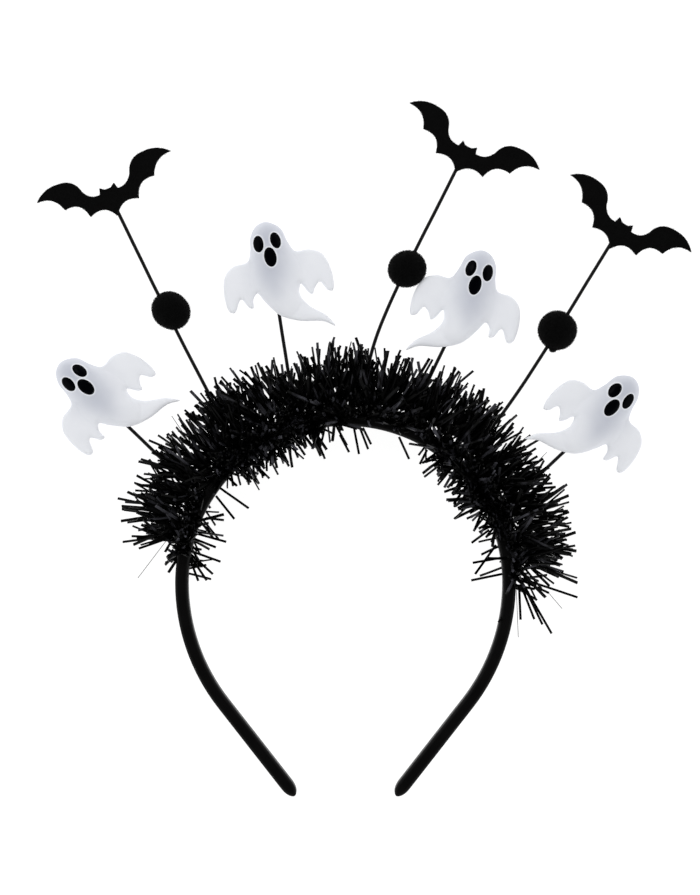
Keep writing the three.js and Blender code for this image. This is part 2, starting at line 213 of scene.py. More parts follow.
# Dull black in small clumps, with a faint halo at the edge
FIBRE = {"Roughness": 0.95, "Specular_IOR_Level": 0.08, "Sheen_Weight": 0.01}
POMPOM_BLACK = mottled_finish("acrylic_fibre_black", ("#010101", "#040404"), patch=(0.8, 4.0),
                              grain=(0.8, 4.0, 0.5, 0.15), **FIBRE)
FELT_BLACK = mottled_finish("pressed_felt_black", ("#010101", "#060606"), patch=(0.6, 4.0),
                            grain=(0.6, 4.0, 0.5, 0.15), **FIBRE)

# %% [markdown]
# ### Ghosts: moulded white foam, with enamel faces
# The ghosts are pressed from white foam with a fine closed skin. Its grey is painted shade: the
# arms stay white, and the head, the neck under the mouth and the body are painted lavender grey.
# The mesh carries that painted shade as a number, and the finish reads it. The eyes and mouths are enamel.

# %% Ghost and face finishes
# Matt white, darkened to a painted lavender-grey shade by the mesh's shade number. The cells of
# the skin are near 0.1 mm, so they are drawn coarser, at 0.5 mm.
def foam_finish():
    material, tree, shader, where = new_finish("moulded_foam_white", IOR=1.45, Roughness=0.7,
                                               Specular_IOR_Level=0.12)
    shade = add(tree, "ShaderNodeAttribute", attribute_name="shade").outputs["Fac"]
    cloud = add(tree, "ShaderNodeTexNoise", {"Vector": where, "Scale": per_mm(7), "Detail": 2.0})
    sway = add(tree, "ShaderNodeMath", {0: cloud, 1: 0.5}, operation="SUBTRACT")
    share = add(tree, "ShaderNodeMath", {0: sway, 1: 0.2, 2: shade}, operation="MULTIPLY_ADD", use_clamp=True)
    # B is the lavender grey of the painted shade
    tone = add(tree, "ShaderNodeMix", {"Factor": share, "A": srgb("#f0f2f7"), "B": srgb("#bec2ce")},
               data_type="RGBA")
    skin = add(tree, "ShaderNodeTexNoise", {"Vector": where, "Scale": per_mm(0.5), "Detail": 2.0})
    bump = add(tree, "ShaderNodeBump", {"Height": skin, "Strength": 0.1, "Distance": 0.05 * MM})
    feed(tree, shader, {"Base Color": tone, "Normal": bump})
    return material


FOAM_WHITE = foam_finish()
# Wet-looking black with a cold tint
ENAMEL_BLACK = mottled_finish("glossy_enamel_black", ("#010103", "#040509"), patch=(2, 1.0),
                              gloss=(0.08, 0.2), IOR=1.52, Specular_IOR_Level=0.02)

# %% [markdown]
# ## Camera, floor and light
# The photograph looks straight down on the headband. A long lens from well above keeps the view
# nearly flat. The floor is a pale light table, and the light comes from a bright ring of sky low
# all round, with little straight above, so black pieces stay black and foam shows its form. A
# mesh is made in millimetres and moved into the frame once, so every object sits at the origin.

# %% Camera
VIEW_CENTRE = Vector((1.8, 54.2, 0.0))
VIEW_HEIGHT = 358.0
CAMERA_RISE = 1200.0
SENSOR_WIDTH = 36.0
CLIP_END = 100.0


def put(name, data):
    """An object for a mesh, a curve, a lamp or a camera."""
    thing = bpy.data.objects.new(name, data)
    bpy.context.scene.collection.objects.link(thing)
    return thing


camera_data = bpy.data.cameras.new("camera")
camera_data.sensor_width = SENSOR_WIDTH
camera_data.lens = SENSOR_WIDTH * CAMERA_RISE / VIEW_HEIGHT
camera_data.clip_end = CLIP_END
camera = put("camera", camera_data)
camera.location = TO_FRAME @ (VIEW_CENTRE + Vector((0.0, 0.0, CAMERA_RISE)))
bpy.context.scene.camera = camera
print("lens", round(camera_data.lens, 1), "mm")

# %% Floor
FLOOR_REACH = 4000.0


def new_piece(name, points, faces, material=None, edges=()):
    """A smooth mesh object from points in millimetres from the arch centre."""
    mesh = bpy.data.meshes.new(name)
    mesh.from_pydata([TO_FRAME @ Vector(p) for p in points], edges, faces)
    mesh.shade_smooth()
    if material is not None:
        mesh.materials.append(material)
    return put(name, mesh)


# An even white that glows a little, as a light table does
table = new_finish("light_table_white", Base_Color=srgb("#888888"), Roughness=0.9, Specular_IOR_Level=0.0,
                   Emission_Color=srgb("#ffffff"), Emission_Strength=0.92)[0]
corners = [(x * FLOOR_REACH, y * FLOOR_REACH, FLOOR) for x, y in ((-1, -1), (1, -1), (1, 1), (-1, 1))]
floor = new_piece("floor", corners, [(0, 1, 2, 3)], table)

# %% Light
# Height as a share of straight up, and how bright the sky is there
SKY_STOPS = [(0.0, 0.55), (0.22, 0.85), (0.36, 1.0), (0.62, 1.0), (0.8, 0.12), (1.0, 0.05)]
SKY_STRENGTH = 1.45
LAMP_PLACE = Vector((-260.0, 520.0, 760.0))
LAMP_WATTS = 1.2
LAMP_METRES = 0.35

world = bpy.data.worlds.new("studio")
bpy.context.scene.world = world
world.use_nodes = True
sky = world.node_tree
direction = add(sky, "ShaderNodeTexCoord").outputs["Generated"]
height = add(sky, "ShaderNodeSeparateXYZ", {"Vector": direction}).outputs["Z"]
glow = add(sky, "ShaderNodeValToRGB", {"Fac": height})
stops = glow.color_ramp.elements
while len(stops) < len(SKY_STOPS):
    stops.new(SKY_STOPS[len(stops) - 1][0])
for stop, (place, grey) in zip(stops, SKY_STOPS):
    stop.position = place
    stop.color = (grey, grey, grey, 1.0)
feed(sky, sky.nodes["Background"], {"Color": glow, "Strength": SKY_STRENGTH})
bpy.context.scene.view_settings.view_transform = "Standard"

lamp_data = bpy.data.lights.new("key", "AREA")
lamp_data.energy = LAMP_WATTS
lamp_data.size = LAMP_METRES
lamp = put("key", lamp_data)
lamp.location = TO_FRAME @ LAMP_PLACE
lamp.rotation_euler = (TO_FRAME @ VIEW_CENTRE - lamp.location).to_track_quat("-Z", "Y").to_euler()
lamp.visible_camera = False
print("sky of", len(stops), "greys and a lamp of", LAMP_WATTS, "W")

# %% [markdown]
# ## Band
# The hoop is one section swept along a line: a half circle over the crown, a bend on each side
# and two straight arms. The section is a rectangle with soft edges. Towards each tip it narrows
# along a quarter circle, which rounds the end in plan. A bevelled curve could do the sweep, but
# not the narrowing, so the rings of points are worked out one by one.

# %% Band line
BEND_RADIUS = 78.0
BEND_ANGLE = 38.0
ARM_LENGTH = 44.0
ARC_STEP = 1.5
BEND_STEPS = 16
ARM_STEPS = 10
TIP_LENGTH = 5.4


def band_line():
    """Points of the right half from the crown to the tip, each with its outward direction."""
    rows = []
    for turn in np.arange(0.0, 90.0, ARC_STEP):
        rows.append((arch_point(turn), arch_point(turn).normalized()))
    for turn in np.radians(np.linspace(0.0, BEND_ANGLE, BEND_STEPS + 1)):
        out = Vector((math.cos(turn), -math.sin(turn), 0.0))
        rows.append((Vector((ARCH_RADIUS - BEND_RADIUS, 0.0, 0.0)) + BEND_RADIUS * out, out))
    bend_end, out = rows[-1]
    along = Vector((out.y, -out.x, 0.0))
    straight = ARM_LENGTH + BAND_THICKNESS / 2 - TIP_LENGTH
    for share in np.linspace(0.0, 1.0, ARM_STEPS + 1)[1:]:
        rows.append((bend_end + along * straight * share, out))
    return rows, along


print(len(band_line()[0]), "sections from the crown to the tip")

# %% Band sections
BAND_EDGE = 1.3
EDGE_MOST = 0.95
EDGE_POINTS = 5
TIP_STEPS = 12
TIP_TURN = 88.0
TIP_DROP = 0.8


def band_section(half_thick, half_wide):
    """A rectangle with round corners, as points of out and up."""
    edge = min(BAND_EDGE, half_thick * EDGE_MOST)
    points = []
    for corner, (side_out, side_up) in enumerate(((1, 1), (-1, 1), (-1, -1), (1, -1))):
        for step in range(EDGE_POINTS):
            turn = math.radians(90 * corner + 90 * step / (EDGE_POINTS - 1))
            points.append((side_out * (half_thick - edge) + edge * math.cos(turn),
                           side_up * (half_wide - edge) + edge * math.sin(turn)))
    return points


def band_stations():
    """Middle, outward direction and half sizes of each section, from tip to tip."""
    rows, along = band_line()
    half_thick, half_wide = BAND_THICKNESS / 2, BAND_WIDTH / 2
    stations = [(point, out, half_thick, half_wide) for point, out in rows]
    tip, out = rows[-1]
    for step in range(1, TIP_STEPS + 1):
        turn = math.radians(TIP_TURN * step / TIP_STEPS)
        narrow = math.cos(turn)
        stations.append((tip + along * TIP_LENGTH * math.sin(turn), out, half_thick * narrow,
                         half_wide - TIP_DROP * (1 - narrow)))
    flip = Matrix.Diagonal((-1.0, 1.0, 1.0))
    return [(flip @ point, flip @ out, *half) for point, out, *half in stations[:0:-1]] + stations


print(len(band_stations()), "sections from tip to tip")

# %% Band mesh
DOUBLES = 0.001


def ring_faces(rings, sides, first=0):
    """Quads between rings of points that follow each other, from the point with number first."""
    faces = []
    for start in range(first, first + (rings - 1) * sides, sides):
        for side in range(sides):
            after = (side + 1) % sides
            faces.append((start + side, start + after, start + sides + after, start + sides + side))
    return faces


def tube_faces(rings, sides):
    """Faces of a closed tube of rings, with a cap at each end."""
    last = range((rings - 1) * sides, rings * sides)
    return ring_faces(rings, sides) + [tuple(range(sides))[::-1], tuple(last)]


def face_out(piece):
    """Merges doubles and turns all faces outwards."""
    mesh = bmesh.new()
    mesh.from_mesh(piece.data)
    bmesh.ops.remove_doubles(mesh, verts=mesh.verts, dist=DOUBLES * MM)
    bmesh.ops.recalc_face_normals(mesh, faces=mesh.faces)
    mesh.to_mesh(piece.data)
    mesh.free()


def dress(piece, slot, *nodes):
    """The piece stands for these solids, which are hidden, and rides with the headband."""
    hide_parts(*nodes)
    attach(piece, BODY)
    triangles = sum(len(face.vertices) - 2 for face in piece.data.polygons)
    print(piece.name, triangles, "triangles")


stations = band_stations()
band_points = []
for point, out, *half in stations:
    band_points += [point + out * aside + Vector((0.0, 0.0, up)) for aside, up in band_section(*half)]
band = new_piece("band_hoop", band_points, tube_faces(len(stations), 4 * EDGE_POINTS), BAND_BLACK)
face_out(band)
dress(band, "band", "band")

# %% [markdown]
# ## Wires
# Each figure stands on a length of soft iron wire that was cut and bent by hand. The line is
# drawn through its seat in the band, a knee on the long ones, and the end glued behind the
# figure. A geometry tree sweeps a round section along it and adds the waver of a hand bend.

# %% Figures and their places
# at is the bat's lowest point or the ghost's mouth, roll and turn are in degrees, arch is where
# the wire leaves the band, knee and edge are points that the wire passes, and face is how far
# the face was moulded off its place. A pompom has its middle, and trim is the slant of its long
# way with its half sizes along and across; a tuft has a direction and a length.
BATS = {
    "left": {"at": (-90.8, 146.9), "roll": 19.9, "turn": -12.0, "arch": -39.4,
             "knee": (-68.0, 101.6), "edge": (-90.4, 147.1),
             "pompom": (-69.8, 108.9), "trim": (-42.0, 8.1, 7.4)},
    "middle": {"at": (43.9, 164.0), "roll": -28.1, "turn": -8.0, "arch": 6.0,
               "knee": (10.9, 94.0), "edge": (43.7, 164.1),
               "pompom": (24.7, 125.6), "trim": (18.0, 7.83, 7.48)},
    "right": {"at": (105.4, 133.7), "roll": -31.2, "turn": 12.0, "arch": 45.3,
              "knee": (70.0, 78.0), "edge": (104.9, 133.9),
              "pompom": (84.8, 101.1), "trim": (95.0, 8.05, 7.85), "tuft": (-104.0, 1.8)},
}
GHOSTS = {
    "ghost_1": {"at": (-103.3, 78.3), "roll": 50.4, "turn": 0.0, "tail": 1, "arch": -59.6,
                "edge": (-87.0, 62.6), "face": (0.0, 0.0)},
    "ghost_2": {"at": (-29.9, 130.0), "roll": 12.2, "turn": 0.0, "tail": 1, "arch": -17.3,
                "edge": (-26.55, 107.5), "face": (0.0, 0.0)},
    "ghost_3": {"at": (51.6, 118.8), "roll": -15.5, "turn": 0.0, "tail": -1, "arch": 21.0,
                "edge": (39.6, 94.6), "face": (0.0, 0.0)},
    "ghost_4": {"at": (106.2, 70.6), "roll": -39.0, "turn": 13.0, "tail": -1, "arch": 66.2,
                "edge": (87.0, 52.2), "face": (-0.9, -0.5)},
}
print(len(BATS), "bats and", len(GHOSTS), "ghosts")

# %% Build and run geometry trees
def new_tree(name, kinds):
    """A geometry tree with named inputs, and the sockets that bring them in."""
    tree = bpy.data.node_groups.new(name, "GeometryNodeTree")
    tree.interface.new_socket("Geometry", in_out="OUTPUT", socket_type="NodeSocketGeometry")
    for label, kind in {"Geometry": "Geometry", **kinds}.items():
        tree.interface.new_socket(label, in_out="INPUT", socket_type="NodeSocket" + kind)
    return tree, add(tree, "NodeGroupInput").outputs


def end_tree(tree, geometry, material):
    """Ends a tree with plain geometry, since an export drops instances, and one finish on it."""
    whole = add(tree, "GeometryNodeRealizeInstances", {"Geometry": geometry})
    done = add(tree, "GeometryNodeSetMaterial", {"Geometry": whole, "Material": material})
    add(tree, "NodeGroupOutput", {"Geometry": done})
    print("tree", tree.name, "has", len(tree.nodes), "nodes")


def run_tree(piece, tree, values):
    """Adds the tree to a piece as a modifier, each input set by its identifier."""
    modifier = piece.modifiers.new(tree.name, "NODES")
    modifier.node_group = tree
    for item in tree.interface.items_tree:
        if item.in_out == "INPUT" and item.name in values:
            modifier[item.identifier] = values[item.name]


def settle(piece):
    """Turns a piece with modifiers into a plain mesh object of the same name."""
    depsgraph = bpy.context.evaluated_depsgraph_get()
    mesh = bpy.data.meshes.new_from_object(piece.evaluated_get(depsgraph))
    name = piece.name
    bpy.data.objects.remove(piece)
    mesh.name = name
    return put(name, mesh)


# %% Wire tree
WIRE_RADIUS = 0.71
WIRE_SIDES = 12
WIRE_WAVER = 0.12
WAVER_PITCH = 12.0


def wire_tree():
    tree, given = new_tree("bent_wire", {
        "Wire Radius": "Float", "Waver": "Float", "Waver Scale": "Float", "Material": "Material"})
    place = add(tree, "GeometryNodeInputPosition")
    noise = add(tree, "ShaderNodeTexNoise", {"Vector": place, "Scale": given["Waver Scale"], "Detail": 0.0})
    sway = add(tree, "ShaderNodeVectorMath", {0: noise.outputs["Color"], 1: (0.5, 0.5, 0.5)},
               operation="SUBTRACT")
    shift = add(tree, "ShaderNodeVectorMath", {0: sway, "Scale": given["Waver"]}, operation="SCALE")
    line = add(tree, "GeometryNodeSetPosition", {"Geometry": given["Geometry"], "Offset": shift})
    section = add(tree, "GeometryNodeCurvePrimitiveCircle",
                  {"Resolution": WIRE_SIDES, "Radius": given["Wire Radius"]})
    tube = add(tree, "GeometryNodeCurveToMesh", {"Curve": line, "Profile Curve": section, "Fill Caps": True})
    soft = add(tree, "GeometryNodeSetShadeSmooth", {0: tube})
    end_tree(tree, soft, given["Material"])
    return tree


WIRE_TREE = wire_tree()

# %% Wire lines
WIRE_SOCKET = 2.8
WIRE_HIDDEN = 8.0
WIRE_SPACING = 1.5
# The spans of a smooth curve's four points that are mixed at each level
SPLINE_SPANS = (((0, 1), (1, 2), (2, 3)), ((0, 2), (1, 3)), ((1, 2),))


def spline_point(corners, i, share):
    """A point of a centripetal curve through corners, on its span i."""
    before, after = 2 * corners[0] - corners[1], 2 * corners[-1] - corners[-2]
    level = [before, *corners, after][i:i + 4]
    times = [0.0]
    for a, b in zip(level, level[1:]):
        times.append(times[-1] + math.sqrt((b - a).length))
    now = times[1] + (times[2] - times[1]) * share
    for spans in SPLINE_SPANS:
        level = [a.lerp(b, (now - times[s]) / (times[e] - times[s]))
                 for a, b, (s, e) in zip(level, level[1:], spans)]
    return level[0]


def wire_line(row):
    """Close points along a figure's wire: seat, knee where there is one, and hidden end."""
    corners = [arch_point(row["arch"], BAND_THICKNESS / 2 - WIRE_SOCKET)]
    if "knee" in row:
        corners.append(Vector((*row["knee"], 0.0)))
    edge = Vector((*row["edge"], 0.0))
    corners.append(edge + (edge - corners[-1]).normalized() * WIRE_HIDDEN)
    line = []
    for i, (start, end) in enumerate(zip(corners, corners[1:])):
        count = max(2, round((end - start).length / WIRE_SPACING))
        line += [spline_point(corners, i, step / count) for step in range(count)]
    return line + [corners[-1]]


print("a bat's wire has", len(wire_line(BATS["left"])), "points")

# %% Wires
def make_wire(name, row):
    curve = bpy.data.curves.new(name, "CURVE")
    curve.dimensions = "3D"
    line = wire_line(row)
    spline = curve.splines.new("POLY")
    spline.points.add(len(line) - 1)
    for point, target in zip(spline.points, line):
        point.co = (*(TO_FRAME @ target), 1.0)
    wire = put(name + "_wire", curve)
    run_tree(wire, WIRE_TREE, {"Wire Radius": WIRE_RADIUS * MM, "Waver": WIRE_WAVER * MM,
                               "Waver Scale": per_mm(WAVER_PITCH), "Material": WIRE_BLACK})
    dress(settle(wire), "stem", name)


for bat, row in BATS.items():
    make_wire(f"bat_{bat}_stem", row)
for ghost, row in GHOSTS.items():
    make_wire(f"{ghost}_stem", row)

# %% [markdown]
# ## Tinsel
# Tinsel is film cut into strips and held in a twisted wire, which makes a long round brush. Here
# the brush is wound over the crown, so in some stretches it lies in front of the band and hangs
# into the hoop, and in others it passes behind and leaves the band bare. Hair could make it, but
# strips are flat and end square, so a tree stands thin boxes on points. Each starts on the core of
# the brush, points away at an angle round the band's section, leans along the band and curls. A
# table of brushes gives each stretch its own numbers, and the fills and the core close the gaps.

# %% Brushes
# Root and reach are millimetres from the band's middle line, outwards and to each side. Film is
# about 0.1 mm thick, too thin to show edge on, so strips are drawn thicker.
TINSEL_COMMON = {
    "Arch Radius": ARCH_RADIUS, "Root Side": 4.4, "Floor": FLOOR, "Clump": 6.0, "Width": 1.15,
    "Thickness": 0.6, "Curl": 0.07, "Side Trim": 0.06, "Unit": MM, "Arch Centre": ARCH_CENTRE,
    "Material": FILM_BLACK,
}
# Each row has its count first. From and To are degrees along the arch from the crown, a fan is
# degrees from straight out, and front is the share of strips on the side that faces up.
BRUSH_COLUMNS = ("From", "To", "Fan From", "Fan To", "Front Share", "Root Limit", "Root Out",
                 "Reach Out", "Reach Side", "Shortest", "Lean", "Lean Bias")
BRUSHES = {
    "fringe": (790, -69, 84, 0, 30, 0.5, 30, 8.0, 36, 19, 0.66, 36, 0),
    "body": (560, -75, 88, 25, 75, 0.5, 60, 7.0, 30, 19, 0.5, 60, 0),
    "behind": (250, -79, 89, 60, 95, 0.0, 95, 2.5, 24, 19, 0.6, 40, 0),
    "cover_left": (210, -50, 0, 55, 125, 1.0, 95, 2.5, 24, 18, 0.6, 56, 0),
    "cover_right": (175, 34, 72, 55, 125, 1.0, 95, 2.5, 24, 18, 0.6, 56, 0),
    "inner_left": (92, -45, -12, 135, 168, 0.5, 95, 2.5, 18.5, 13, 0.3, 36, 0),
    "inner_right": (54, 37, 62, 135, 168, 0.5, 95, 2.5, 18.5, 13, 0.3, 36, 0),
    "inner_start": (22, -87, -62, 140, 168, 0.3, 95, 2.5, 17, 11, 0.5, 36, -16),
    "inner_end": (4, 72, 86, 140, 168, 0.3, 95, 2.5, 16, 11, 0.6, 30, 0),
    "inner_crown": (2, 26, 34, 140, 165, 0.4, 95, 2.5, 12, 11, 0.5, 34, 0),
    "start_splay": (8, -82, -78, 0, 50, 0.5, 30, 2.5, 10.5, 11, 0.5, 24, -26),
    "end_splay": (5, 88, 92, 0, 50, 0.4, 30, 2.5, 22, 14, 0.6, 26, 30),
    "filaments": (20, -78, 88, 0, 60, 0.5, 30, 8.0, 37, 19, 0.8, 40, 0),
    "fringe_start": (50, -77, -68, 0, 34, 0.5, 30, 7.0, 29, 18, 0.6, 30, 8),
    "cover_start": (60, -79, -66, 60, 110, 1.0, 95, 2.5, 15, 15, 0.6, 46, 0),
    "inner_deep": (10, 54, 64, 140, 165, 0.5, 95, 2.5, 18.5, 12, 0.6, 34, 0),
    "fill": (560, -80, 89, 35, 105, 0.45, 60, 3.5, 17, 15, 0.45, 60, 0),
    "cover_crown": (50, 0, 36, 50, 88, 1.0, 95, 4.0, 14, 12, 0.5, 60, 0),
    "fill_start": (80, -83, -62, 20, 100, 0.5, 60, 3.0, 11, 10, 0.45, 60, 0),
    "fill_end": (90, 66, 91, 20, 100, 0.5, 60, 3.0, 12, 11, 0.45, 60, 0),
    "core": (420, -80, 89, 0, 70, 0.5, 70, 2.6, 8.5, 8.0, 0.45, 64, 0),
}
print(sum(row[0] for row in BRUSHES.values()), "strips in", len(BRUSHES), "brushes")

# %% Tinsel tree: nine random numbers from 0 to 1 for each strip
kinds = dict.fromkeys((*TINSEL_COMMON, *BRUSH_COLUMNS), "Float")
kinds.update({"Count": "Int", "Seed": "Int", "Arch Centre": "Vector", "Material": "Material"})
tinsel, given = new_tree("tinsel_strips", kinds)
index = add(tinsel, "GeometryNodeInputIndex")
draws = []
for number in range(3):
    seed = add(tinsel, "ShaderNodeMath", {0: given["Seed"], 1: number}, operation="ADD")
    three = add(tinsel, "FunctionNodeRandomValue", {"ID": index, "Seed": seed}, data_type="FLOAT_VECTOR")
    draws += list(add(tinsel, "ShaderNodeSeparateXYZ", {"Vector": three}).outputs)
at_draw, fan_draw, side_draw, reach_draw, lean_draw = draws[:5]
own_draw, twist_draw, width_draw, curl_draw = draws[5:]
print(len(kinds), "inputs and", len(draws), "random numbers")

# %% Tinsel tree: degrees along the arch, and an angle round the band's section
spot = add(tinsel, "ShaderNodeMath", {0: index, 1: at_draw}, operation="ADD")
share = add(tinsel, "ShaderNodeMath", {0: spot, 1: given["Count"]}, operation="DIVIDE")
degrees = add(tinsel, "ShaderNodeMapRange", {"Value": share, "To Min": given["From"], "To Max": given["To"]})
clockwise = add(tinsel, "ShaderNodeMath", {0: degrees, 1: math.radians(-1)}, operation="MULTIPLY")
fan = add(tinsel, "ShaderNodeMapRange",
          {"Value": fan_draw, "To Min": given["Fan From"], "To Max": given["Fan To"]})
fan = add(tinsel, "ShaderNodeMath", {0: fan}, operation="RADIANS")
front = add(tinsel, "ShaderNodeMath", {0: side_draw, 1: given["Front Share"]}, operation="LESS_THAN")
side = add(tinsel, "ShaderNodeMath", {0: front, 1: 2.0, 2: -1.0}, operation="MULTIPLY_ADD")
phi = add(tinsel, "ShaderNodeMath", {0: fan, 1: side}, operation="MULTIPLY")
print("strips have places,", len(tinsel.nodes), "nodes")

# %% Tinsel tree: neighbours reach alike, as tufts do
NOISE_LOW = 0.3
NOISE_HIGH = 0.7
TUFT_SHORTEST = 0.78

tuft_at = add(tinsel, "ShaderNodeMath", {0: degrees, 1: given["Clump"]}, operation="DIVIDE")
where = add(tinsel, "ShaderNodeCombineXYZ", {"X": tuft_at, "Y": phi, "Z": given["Seed"]})
tuft = add(tinsel, "ShaderNodeTexNoise", {"Vector": where, "Scale": 1.0, "Detail": 0.0})
tufts = add(tinsel, "FunctionNodeSeparateColor", {"Color": tuft.outputs["Color"]}).outputs
tuft_reach = add(tinsel, "ShaderNodeMapRange",
                 {"Value": tufts[0], "From Min": NOISE_LOW, "From Max": NOISE_HIGH,
                  "To Min": TUFT_SHORTEST, "To Max": 1.0})
own_reach = add(tinsel, "ShaderNodeMapRange",
                {"Value": reach_draw, "To Min": given["Shortest"], "To Max": 1.0})
reach = add(tinsel, "ShaderNodeMath", {0: tuft_reach, 1: own_reach}, operation="MULTIPLY")
print("strips have reaches,", len(tinsel.nodes), "nodes")

# %% Tinsel tree: tip in the band's section, where Y points out from the band and Z up
TRIM_FROM = 20.0
TRIM_TO = 80.0
FAR_OFF = -200.0

steep = add(tinsel, "ShaderNodeMath", {0: degrees}, operation="ABSOLUTE")
least = add(tinsel, "ShaderNodeMath", {0: 1.0, 1: given["Side Trim"]}, operation="SUBTRACT")
trim = add(tinsel, "ShaderNodeMapRange",
           {"Value": steep, "From Min": TRIM_FROM, "From Max": TRIM_TO, "To Min": 1.0, "To Max": least},
           interpolation_type="SMOOTHSTEP")
reach_out = add(tinsel, "ShaderNodeMath", {0: given["Reach Out"], 1: trim}, operation="MULTIPLY")
oval = add(tinsel, "ShaderNodeCombineXYZ", {"Y": reach_out, "Z": given["Reach Side"]})
spoke = add(tinsel, "ShaderNodeVectorRotate", {"Vector": (0.0, 1.0, 0.0), "Angle": phi},
            rotation_type="X_AXIS")
full = add(tinsel, "ShaderNodeVectorMath", {0: spoke, 1: oval}, operation="MULTIPLY")
drawn = add(tinsel, "ShaderNodeVectorMath", {0: full, "Scale": reach}, operation="SCALE")
lowest = add(tinsel, "ShaderNodeCombineXYZ", {"X": FAR_OFF, "Y": FAR_OFF, "Z": given["Floor"]})
tip = add(tinsel, "ShaderNodeVectorMath", {0: drawn, 1: lowest}, operation="MAXIMUM")
print("strips have tips,", len(tinsel.nodes), "nodes")

# %% Tinsel tree: root on the core, and the line from there
limit = add(tinsel, "ShaderNodeMath", {0: given["Root Limit"]}, operation="RADIANS")
limit_back = add(tinsel, "ShaderNodeMath", {0: limit, 1: -1.0}, operation="MULTIPLY")
rho = add(tinsel, "ShaderNodeClamp", {"Value": phi, "Min": limit_back, "Max": limit})
root_spoke = add(tinsel, "ShaderNodeVectorRotate", {"Vector": (0.0, 1.0, 0.0), "Angle": rho},
                 rotation_type="X_AXIS")
root_oval = add(tinsel, "ShaderNodeCombineXYZ", {"Y": given["Root Out"], "Z": given["Root Side"]})
root = add(tinsel, "ShaderNodeVectorMath", {0: root_spoke, 1: root_oval}, operation="MULTIPLY")
line = add(tinsel, "ShaderNodeVectorMath", {0: tip, 1: root}, operation="SUBTRACT")
length = add(tinsel, "ShaderNodeVectorMath", {0: line}, operation="LENGTH").outputs["Value"]
print("strips have roots,", len(tinsel.nodes), "nodes")

# %% Tinsel tree: lean along the band, partly with the tuft and partly each strip's own
TUFT_SWAY = 0.5
OWN_SWAY = 0.85

with_tuft = add(tinsel, "ShaderNodeMapRange",
                {"Value": tufts[1], "From Min": NOISE_LOW, "From Max": NOISE_HIGH,
                 "To Min": -TUFT_SWAY, "To Max": TUFT_SWAY}, clamp=False)
alone = add(tinsel, "ShaderNodeMapRange", {"Value": lean_draw, "To Min": -OWN_SWAY, "To Max": OWN_SWAY})
sway = add(tinsel, "ShaderNodeMath", {0: with_tuft, 1: alone}, operation="ADD")
lean = add(tinsel, "ShaderNodeMath", {0: sway, 1: given["Lean"], 2: given["Lean Bias"]},
           operation="MULTIPLY_ADD")
lean = add(tinsel, "ShaderNodeMath", {0: lean}, operation="RADIANS")
slope = add(tinsel, "ShaderNodeMath", {0: lean}, operation="TANGENT")
aside = add(tinsel, "ShaderNodeCombineXYZ", {"X": slope})
straight = add(tinsel, "ShaderNodeVectorMath", {0: line}, operation="NORMALIZE")
aim = add(tinsel, "ShaderNodeVectorMath", {0: straight, 1: aside}, operation="ADD")
print("strips have leans,", len(tinsel.nodes), "nodes")

# %% Tinsel tree: points on the arch that keep each strip's own number and its curl
on_top = add(tinsel, "ShaderNodeCombineXYZ", {"Y": given["Arch Radius"]})
start = add(tinsel, "ShaderNodeVectorMath", {0: root, 1: on_top}, operation="ADD")
most = add(tinsel, "ShaderNodeMath", {0: length, 1: given["Curl"]}, operation="MULTIPLY")
back = add(tinsel, "ShaderNodeMath", {0: most, 1: -1.0}, operation="MULTIPLY")
curl_side, curl_up = [add(tinsel, "ShaderNodeMapRange", {"Value": draw, "To Min": back, "To Max": most})
                      for draw in (curl_draw, own_draw)]
curl = add(tinsel, "ShaderNodeCombineXYZ", {"X": curl_side, "Z": curl_up})
start, curl, aim = [
    add(tinsel, "ShaderNodeVectorRotate", {"Vector": way, "Angle": clockwise}, rotation_type="Z_AXIS")
    for way in (start, curl, aim)]
ready = add(tinsel, "GeometryNodePoints", {"Count": given["Count"], "Position": start})
for label, value, kind in (("own", own_draw, "FLOAT"), ("curl", curl, "FLOAT_VECTOR")):
    ready = add(tinsel, "GeometryNodeStoreNamedAttribute",
                {"Geometry": ready, "Name": label, "Value": value}, data_type=kind, domain="POINT")
print("strips have curls,", len(tinsel.nodes), "nodes")

# %% Tinsel tree: thin flat boxes that know how far along them each point is, stood on the points
SLIMMEST = 0.6

box = add(tinsel, "GeometryNodeMeshCube",
          {"Size": (1.0, 1.0, 1.0), "Vertices X": 2, "Vertices Y": 2, "Vertices Z": 4})
upright = add(tinsel, "GeometryNodeTransform", {"Geometry": box, "Translation": (0.0, 0.0, 0.5)})
up_strip = add(tinsel, "ShaderNodeSeparateXYZ", {"Vector": add(tinsel, "GeometryNodeInputPosition")})
strip = add(tinsel, "GeometryNodeStoreNamedAttribute",
            {"Geometry": upright, "Name": "along", "Value": up_strip.outputs["Z"]},
            data_type="FLOAT", domain="POINT")
upward = add(tinsel, "FunctionNodeAlignRotationToVector", {"Vector": aim}, axis="Z")
half_turn = add(tinsel, "ShaderNodeMath", {0: twist_draw, 1: math.pi}, operation="MULTIPLY")
twist = add(tinsel, "FunctionNodeAxisAngleToRotation", {"Axis": (0.0, 0.0, 1.0), "Angle": half_turn})
turned = add(tinsel, "FunctionNodeRotateRotation", {"Rotation": upward, "Rotate By": twist},
             rotation_space="LOCAL")
slim = add(tinsel, "ShaderNodeMapRange", {"Value": width_draw, "To Min": SLIMMEST, "To Max": 1.0})
width = add(tinsel, "ShaderNodeMath", {0: slim, 1: given["Width"]}, operation="MULTIPLY")
size = add(tinsel, "ShaderNodeCombineXYZ", {"X": width, "Y": given["Thickness"], "Z": length})
stood = add(tinsel, "GeometryNodeInstanceOnPoints",
            {"Points": ready, "Instance": strip, "Rotation": turned, "Scale": size})
whole = add(tinsel, "GeometryNodeRealizeInstances", {"Geometry": stood})
print("strips stand,", len(tinsel.nodes), "nodes")

